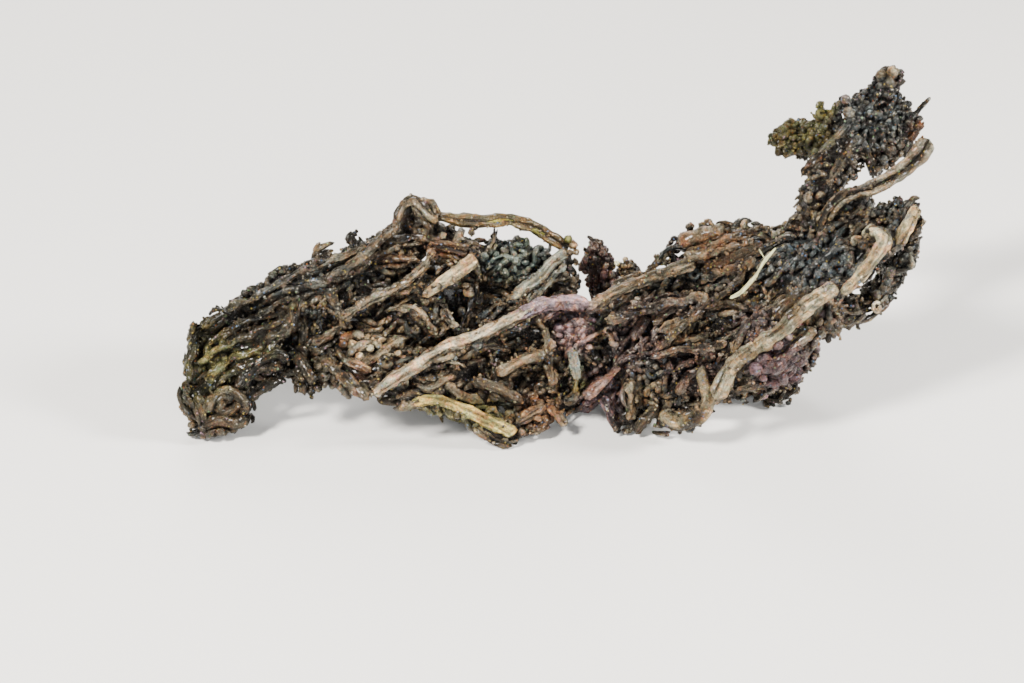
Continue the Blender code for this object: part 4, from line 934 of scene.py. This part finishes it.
def sprig(kind, seed):
    """A small growth lying along X, in units of its own thickness, SPRIG_HALF to each side."""
    pick = random.Random(seed)
    if kind in ("worm", "splinter"):
        return limb(pick, SPRIG_HALF, 1.0, kind)
    if kind == "fork":
        parts = [limb(pick, SPRIG_HALF, 0.95, "worm")]
        for _ in range(pick.choice((1, 2))):
            co, quads, tips = limb(pick, 1.5, 0.7, "worm", down=5)
            turn, foot = pick.choice((-1, 1)) * pick.uniform(0.6, 1.3), pick.uniform(-1.8, 1.8)
            x, y = co[:, 0] + 1.4, co[:, 1]
            turned_x = x * math.cos(turn) - y * math.sin(turn) + foot
            turned_y = x * math.sin(turn) + y * math.cos(turn)
            parts.append((np.column_stack([turned_x, turned_y, co[:, 2] + 0.3]), quads, tips))
        return gathered(parts)
    beads = []
    for x in (None,) * 4 if kind == "clump" else (-2.6, -1.3, 0, 1.3, 2.6):
        if x is None:
            middle = pick.uniform(-2.2, 2.2), pick.uniform(-1, 1), pick.uniform(-0.4, 0.6)
            radius = pick.uniform(0.7, 1.15)
        else:
            middle = x, pick.uniform(-0.3, 0.3), pick.uniform(-0.2, 0.3)
            radius = pick.uniform(0.65, 0.95)
        beads.append(bead(pick, middle, radius, 6, 5))
    return gathered(beads)


SPRIGS = {
    kind: [sprig(kind, 40 + n) for n in range(10)]
    for kind in ("worm", "splinter", "fork", "clump", "string")}


def chosen(pick, *kinds):
    """A sprig of one of the kinds."""
    return pick.choice(SPRIGS[pick.choice(kinds)])


def laid(template, middle, way, normal, half, thick, tone, pick, sag=0.0):
    """A sprig put in place, as (places, (quads, triangles), colours, grain)."""
    co, *faces = template
    side = normal.cross(way).normalized()
    up = way.cross(side)
    along = co[:, 0] / SPRIG_HALF
    local = np.column_stack([along * half, co[:, 1] * thick, co[:, 2] * thick - along ** 2 * sag])
    world = local @ np.array([way[:], side[:], up[:]]) + np.array(middle)
    world[:, 2] = np.maximum(world[:, 2], 0.01 * MM)
    # Painted shade: each sprig, grain, knob and strut is darker underneath and lighter on top
    shade = np.clip(0.6 + 0.6 * local[:, 2] / thick, 0.18, 1.25)[:, None]
    grain = local[:, [1, 2, 0]] / MM * (1, 1, 0.22) + pick.uniform(0, 90)
    return world, faces, shade * np.array(tone), grain


def small_growth(
        solid_name, spacing, seed, length, reach, kinds, lift=(-0.25, 0.25), spread=0.5, upright=0.14):
    """Sprigs of small growth over one solid, all over it but for its hollows."""
    pick = random.Random(seed)
    places, normals = surface_points(solids[solid_name], spacing * MM, 60000, seed)
    parts = []
    for place, normal, skipped in zip(places, normals, in_hollow(places, normals)):
        place, normal = Vector(place), Vector(normal)
        across, down = (float(value[0]) for value in seen([place]))
        if skipped or place.z < 0.4 * MM or over_rib(place) or across > 91.8:
            continue
        way = Matrix.Rotation(pick.gauss(0, spread), 3, normal) @ square_to(flow(place), normal)
        half, thick = pick.uniform(*length) * 0.5 * MM, pick.uniform(*reach) * MM
        sag = 0.35 * half * half / (1.5 * MM)
        if pick.random() < upright and across < 91 and (across > 36 or down > 28):
            way = (way + normal * pick.uniform(0.3, 0.8)).normalized()
            half, sag = min(half, 0.8 * MM), 0.0
        height = pick.uniform(*lift)
        # Painted shade: sprigs that sit deeper are darker, those higher up lighter
        tone = np.array(mixed(pick, *DULL)) * (0.45 + 0.65 * (height - lift[0]) / (lift[1] - lift[0]))
        middle = place + normal * height * MM
        parts.append(laid(chosen(pick, *kinds), middle, way, normal, half, thick, tone, pick, sag=sag))
    return parts


def joined_sprigs(name, parts):
    """One piece out of many sprigs."""
    starts = np.cumsum([0] + [len(part[0]) for part in parts])
    places, tones, grain = (np.vstack([part[n] for part in parts]) for n in (0, 2, 3))
    quads, tips = (np.vstack([part[1][n] + start for part, start in zip(parts, starts)]) for n in (0, 1))
    faces = quads.tolist() + tips.tolist()
    joined(name, [(places, faces, tarnished(places, tones), grain)], growth_copper)


growth_copper = copper("small growth copper", brightness=1.3)
DULL = (TAN, TAN, BROWN, BROWN, SLATE, (0.13, 0.105, 0.075))
for side, seed in (("left", 51), ("right", 61)):
    lobe = side + "_lobe"
    joined_sprigs(f"{side}_worms", small_growth(
        lobe, 1.12, seed, (1.6, 4.2), (0.25, 0.44), ("worm", "worm", "fork", "fork", "string")))
    joined_sprigs(f"{side}_buds", small_growth(
        lobe, 1.14, seed + 1, (0.9, 1.8), (0.22, 0.4), ("worm", "clump", "clump"),
        lift=(-0.15, 0.3), spread=1.5, upright=0.3))
joined_sprigs("tower_growth", small_growth(
    "tower", 0.8, 71, (0.8, 1.9), (0.26, 0.48), ("worm", "clump", "clump", "splinter"), spread=0.9))

# Nodules: raspberry-like clusters and crusts of small copper balls, grown together where it
# looks beaded, and the crystals of the tower. Each field: the solid it lies on, across, down,
# half width, half height, spacing, sizes and tones.
FIELDS = [
    ("left_lobe", 31.1, 37, 1.7, 1.9, 0.62, (0.3, 0.5), (TAN, BROWN)),
    ("left_lobe", 37, 34.8, 3.2, 1.9, 0.8, (0.28, 0.5), (CREAM, TAN, RUST)),
    ("left_lobe", 28.5, 28.8, 8, 1.9, 0.8, (0.22, 0.42), (SLATE, BROWN, OLIVE)),
    ("left_lobe", 40.5, 23.2, 2.6, 1.2, 0.7, (0.25, 0.4), (TAN, BROWN)),
    ("left_lobe", 52.8, 41.6, 2, 1.9, 0.7, (0.3, 0.5), (RUST, BROWN, TAN)),
    ("left_lobe", 57.6, 33.2, 1.9, 2, 0.62, (0.22, 0.55), (VIOLET, CREAM)),
    ("left_lobe", 22, 41.6, 3.2, 2.2, 0.8, (0.3, 0.55), (BROWN, TAN)),
    ("left_lobe", 51.5, 26, 3.2, 2.2, 0.75, (0.22, 0.38), (SLATE, OLIVE, TAN)),
    ("right_lobe", 59.7, 27.2, 1.7, 3.4, 0.6, (0.25, 0.48), (BROWN, VIOLET, TAN)),
    ("right_lobe", 61.8, 26.8, 1.3, 1.5, 0.6, (0.2, 0.38), (BROWN, CREAM)),
    ("right_lobe", 64.4, 38.2, 1.9, 2.2, 0.62, (0.25, 0.45), (TAN, BROWN, CREAM)),
    ("right_lobe", 75.4, 31, 1.4, 1.1, 0.6, (0.25, 0.45), (TAN, SLATE)),
    ("right_lobe", 77.6, 36.4, 2.4, 2.2, 0.72, (0.35, 0.65), ((0.04, 0.022, 0.03), BROWN)),
    ("right_lobe", 82, 33.6, 3.4, 2.2, 0.65, (0.22, 0.42), (BROWN, TAN, VIOLET)),
    ("right_lobe", 81, 26, 4.2, 2.6, 0.75, (0.22, 0.42), (SLATE, SLATE, TAN)),
    ("right_lobe", 86.4, 24.8, 1, 2, 0.6, (0.25, 0.42), (TAN, CREAM, OLIVE)),
    ("right_lobe", 89.2, 21.2, 2.4, 1.1, 0.5, (0.2, 0.36), (SLATE, TAN)),
    ("tower", 87.8, 11.6, 4.2, 3.8, 0.6, (0.2, 0.42), (SLATE, UMBER, BROWN)),
    ("tower", 79.6, 13.7, 3.4, 2.2, 0.62, (0.24, 0.46), (OLIVE, BROWN, UMBER)),
    ("tower", 89.3, 15.2, 1.5, 1.5, 0.6, (0.25, 0.4), (BROWN, SLATE, TAN)),
    ("tower", 84.8, 21.2, 2.6, 1.9, 0.65, (0.22, 0.42), (SLATE, TAN)),
]
pick = random.Random(77)
nodules = []
for solid_name, a, d, wide, high, spacing, sizes, tones in FIELDS:
    found = surface_points(solids[solid_name], spacing * MM, 40000, 78, field=(a, d, wide, high))
    for place, normal in zip(*found):
        place, normal = Vector(place), Vector(normal)
        if place.z < 0.5 * MM or over_rib(place) and pick.random() < 0.85:
            continue
        size = pick.uniform(*sizes) * MM
        stretch = pick.uniform(1.0, 2.0)
        way = (flow(place) + Vector([pick.gauss(0, 0.5) for _ in range(3)])).normalized()
        nodules.append(laid(
            bead(pick), place + normal * size * pick.uniform(-0.2, 0.7), way, square_to(normal, way),
            size * SPRIG_HALF * stretch, size, mixed(pick, *tones), pick))

# Single knobs: across, down, back, size, tone. The tower's three-lobed top, its pink nugget,
# pale plate and bumps, the arch's knobby end, and bright or dark ones on the lobes.
KNOBS = [
    # The first knob, a near-black ball just behind the ring at the end of the lower bead string, is painted
    # shade: the dark inside of the ball's hole
    (87.6, 30.6, 4.6, 0.52, UMBER), (88.1, 7.5, 20.6, 0.62, CREAM), (89.3, 7.2, 20.7, 0.66, CREAM),
    (88.9, 8.4, 20.3, 0.7, TAN), (88, 8.6, 20.4, 0.5, TAN), (84.6, 10, 18.4, 0.55, (0.2, 0.11, 0.1)),
    (84.9, 11.3, 17.6, 0.7, (0.22, 0.16, 0.13)), (83.9, 10.4, 18.6, 0.35, TAN),
    (89, 15, 16, 0.62, BROWN), (90, 14.6, 16.4, 0.5, BROWN), (88.4, 16, 15.6, 0.5, SLATE),
    (56.8, 23.9, 13.3, 0.45, OLIVE), (57.3, 24.5, 13.4, 0.5, TAN), (57.6, 25.2, 13.4, 0.36, TAN),
    (56.2, 25.4, 13, 0.4, BROWN), (61.7, 26.3, 16.6, 0.3, (0.5, 0.46, 0.3)),
    (62.2, 26.6, 16.5, 0.25, CREAM), (59.5, 24.8, 17.4, 0.5, BROWN),
    # The next three pale grey knobs on the tower are painted highlights: glints of the light on its crystals
    (87, 11.3, 16.8, 0.34, (0.3, 0.31, 0.32)), (88.9, 12.1, 17, 0.3, (0.3, 0.31, 0.32)),
    (88.3, 14.7, 15.8, 0.25, (0.3, 0.31, 0.32)), (40.3, 20.4, 12.2, 0.42, BROWN),
    (42.4, 20.6, 12, 0.4, TAN), (40.9, 21, 13.2, 0.55, UMBER), (41.5, 21.3, 13.2, 0.6, UMBER),
    (40.7, 22, 13.4, 0.8, UMBER), (41.7, 22.3, 13.4, 0.75, UMBER), (41.1, 22.9, 13.2, 0.8, UMBER),
]
FACE_KNOBS = [
    ("left", 59.2, 30.6, 1.3, 0.55, CREAM), ("left", 46.6, 28.7, 1.2, 0.5, TAN),
    ("right", 76.3, 32.2, 1.1, 0.5, SLATE), ("right", 82.8, 28.9, 1.4, 0.6, VIOLET),
    ("right", 76.3, 39.4, 0.8, 0.6, (0.2, 0.09, 0.12)), ("right", 75.5, 36.9, 0.2, 0.7, VIOLET),
    ("left", 56.5, 27.4, 0.8, 0.42, TAN), ("left", 57.3, 28, 0.6, 0.36, TAN),
]


def add_knob(shape, place, size, thick, tone):
    """Adds one ball to the nodules, its top turned up and a little to the viewer."""
    top = Vector((0, -0.5, 0.85)).normalized()
    half = size * SPRIG_HALF * MM
    nodules.append(laid(shape, place, Vector((1, 0, 0)), top, half, thick * MM, tone, pick))


for a, d, back, size, tone in KNOBS:
    add_knob(bead(pick), seated([stand(a, d, back)], 0.5)[0], size, size, tone)
for side, a, d, lift, size, tone in FACE_KNOBS:
    add_knob(bead(pick), seated([on_face(side, a, d, lift)], lift + 1.2)[0], size, size, tone)

# The lower bead string: a loose chain of small copper balls, grown together, which hangs
# behind the hooked rib at the right end.
STRING_BEADS = 34
for n in range(STRING_BEADS):
    along = n / (STRING_BEADS - 1)
    shape = bead(pick)
    a, d = 91.3 - 3.5 * along + pick.gauss(0, 0.28), 24.7 + 5.3 * along + pick.gauss(0, 0.28)
    place = seated([on_face("right", a, d, 0.5)], pick.uniform(0.2, 1.5))[0]
    add_knob(shape, place, 0.42, pick.uniform(0.34, 0.5), mixed(pick, SLATE, BROWN, TAN))
joined_sprigs("nodules", nodules)

# Small rings and hollow ends: the ball with a hole at the end of the lower bead string, the
# ring lump on the ridge, the hole by the front rib, the foot's loop and the tower's box.
RINGS = [
    (None, 87.6, 30.7, 4, 0.4, 0.27, (0.3, 0.24, 0.18)), ("right", 69.4, 27.3, 0.9, 0.45, 0.3, SLATE),
    ("right", 83.3, 30.1, 1.5, 0.4, 0.3, TAN), ("left", 22.6, 40.4, 1, 0.8, 0.36, BROWN),
    (None, 82.2, 11.4, 18.8, 0.36, 0.26, OLIVE), ("left", 54, 38.8, 1, 0.4, 0.28, TAN),
    ("right", 65.2, 37.4, 1, 0.35, 0.26, SLATE), ("left", 38.6, 36.2, 0.8, 0.45, 0.3, TAN),
]
rings = []
for side, a, d, depth, size, wire, tone in RINGS:
    middle = seated([on_face(side, a, d, depth)], 1.6)[0] if side else stand(a, d, depth)
    spokes = [Vector((math.cos(t), 0, 0)) + UPWARD * math.sin(t) for t in np.linspace(0.4, 6.5, 12)]
    round_it = [middle + spoke * size * MM for spoke in spokes]
    tone = mixed(pick, tone)
    rings.append(rib(round_it, wire, 0.95, -FORWARD, pick, tone, step=FINE_STEP, relief=0.4))
joined("small_rings", rings, rib_copper)

# Side twigs and nubs of copper, which grew out of the ribs and stand off them. The right end
# and the peak's loop are left clear, because the real ribs are clean there.
pick = random.Random(81)
nubs = []
for n in range(0, lobe_lines - 1, 5):
    middle, reach, facing, step_number = rib_lines[n]
    across, down = (float(value[0]) for value in seen([middle]))
    if rib_lines[n + 1][3] != step_number + 1 or pick.random() < 0.35:
        continue
    if across > 91 or across < 45 and down < 22.4:
        continue
    along = (rib_lines[n + 1][0] - middle).normalized()
    outward = Matrix.Rotation(pick.gauss(0, 1.3), 3, along) @ square_to(facing, along)
    if outward.dot(facing) > 0.75 and pick.random() < 0.7:
        continue
    way = (outward + along * pick.uniform(-1.2, 1.2)).normalized()
    half, thick = pick.uniform(0.25, 0.5) * MM, pick.uniform(0.16, 0.3) * MM
    nubs.append(laid(
        chosen(pick, "worm", "clump", "worm"), middle + outward * reach * 0.9 + way * half * 0.5, way,
        -facing.cross(way).cross(way).normalized(), half, thick, mixed(pick, TAN, BROWN), pick))
joined_sprigs("rib_nubs", nubs)

# Where a rib bridges a hollow, short knobbly struts of the same copper tie it to the growth
# below.
struts = []
for n in range(0, lobe_lines, 3):
    middle, reach, facing, _ = rib_lines[n]
    nearest = [skin.find_nearest(middle) for skin in skins.values()]
    near, _, _, gap = min(nearest, key=lambda hit: hit[3])
    if 0.7 * reach + 0.3 * MM < gap < 3.5 * MM:
        way = (near - middle).normalized()
        struts.append(laid(
            chosen(pick, "worm", "fork", "string"), (middle + near) / 2 + way * 0.3 * MM, way,
            square_to(facing, way), gap * 0.5 + 0.3 * MM, pick.uniform(0.3, 0.5) * MM,
            mixed(pick, TAN, BROWN, BROWN), pick))
joined_sprigs("rib_struts", struts)

# Grit: thousands of small grains of copper and of its tarnish, half sunk into the ribs and the
# small growth.
GRAINS = [bead(random.Random(n), around=5, down=3) for n in range(12)]
for name, sources, amount, seed in (
        ("left_grit", "left_ribs left_worms left_buds arch_rib left_back_ribs", 3000, 91),
        ("right_grit", "right_ribs right_worms right_buds swept_rib tower_ribs tower_growth right_back_ribs",
         3200, 92)):
    pick = random.Random(seed)
    grit = []
    owners = [bpy.data.objects[source].data for source in sources.split()]
    share = [len(owner.vertices) for owner in owners]
    for owner in pick.choices(owners, weights=share, k=amount):
        vert = owner.vertices[pick.randrange(len(owner.vertices))]
        size = pick.uniform(0.08, 0.19) * MM
        tone = np.array(mixed(pick, TAN, BROWN, CREAM)) * pick.uniform(0.7, 1.5)
        grit.append(laid(
            pick.choice(GRAINS), vert.co + vert.normal * size * 0.3, Vector((1, 0, 0)), Vector((0, 0, 1)),
            size * SPRIG_HALF, size, tone, pick))
    joined_sprigs(name, grit)

# The plant fibre: a flat, pale blade of dry grass with one side shoot. It is no part of the
# growth, and is only caught between two ribs of the right lobe.
fibre_paint = bpy.data.materials.new("dry fibre")
fibre_paint.use_nodes = True
tree = fibre_paint.node_tree
straw = tree.nodes["Principled BSDF"]
streaks = tree.nodes.new("ShaderNodeTexNoise")
streaks.inputs["Scale"].default_value = 7.0
grain_place = tree.nodes.new("ShaderNodeAttribute")
grain_place.attribute_name = "grain"
tree.links.new(grain_place.outputs["Vector"], streaks.inputs["Vector"])
streak_tint = tree.nodes.new("ShaderNodeValToRGB")
streak_tint.color_ramp.elements[0].position, streak_tint.color_ramp.elements[1].position = 0.35, 0.65
streak_tint.color_ramp.elements[0].color = (0.19, 0.17, 0.07, 1)
streak_tint.color_ramp.elements[1].color = (0.42, 0.42, 0.22, 1)
tree.links.new(streaks.outputs["Fac"], streak_tint.inputs["Fac"])
tree.links.new(streak_tint.outputs["Color"], straw.inputs["Base Color"])
straw.inputs["Roughness"].default_value = 0.7
pick = random.Random(31)
fibre_places = [on_face("right", a, d, 1.9) for a, d in (
    (73, 29.8), (73.9, 29.4), (74.8, 28.5), (75.9, 27), (76.6, 25.9), (77.6, 24.8))]
shoot = [fibre_places[4], on_face("right", 76.2, 25.5, 1.9), on_face("right", 75.9, 25, 1.9)]
fibre = joined("fibre_blade", [
    rib(fibre_places, (0.28, 0.12), 0.35, FACING["right"], pick, OLIVE, step=FINE_STEP),
    rib(shoot, 0.07, 0.6, FACING["right"], pick, OLIVE, step=0.1 * MM)], fibre_paint, "plant_fibre")
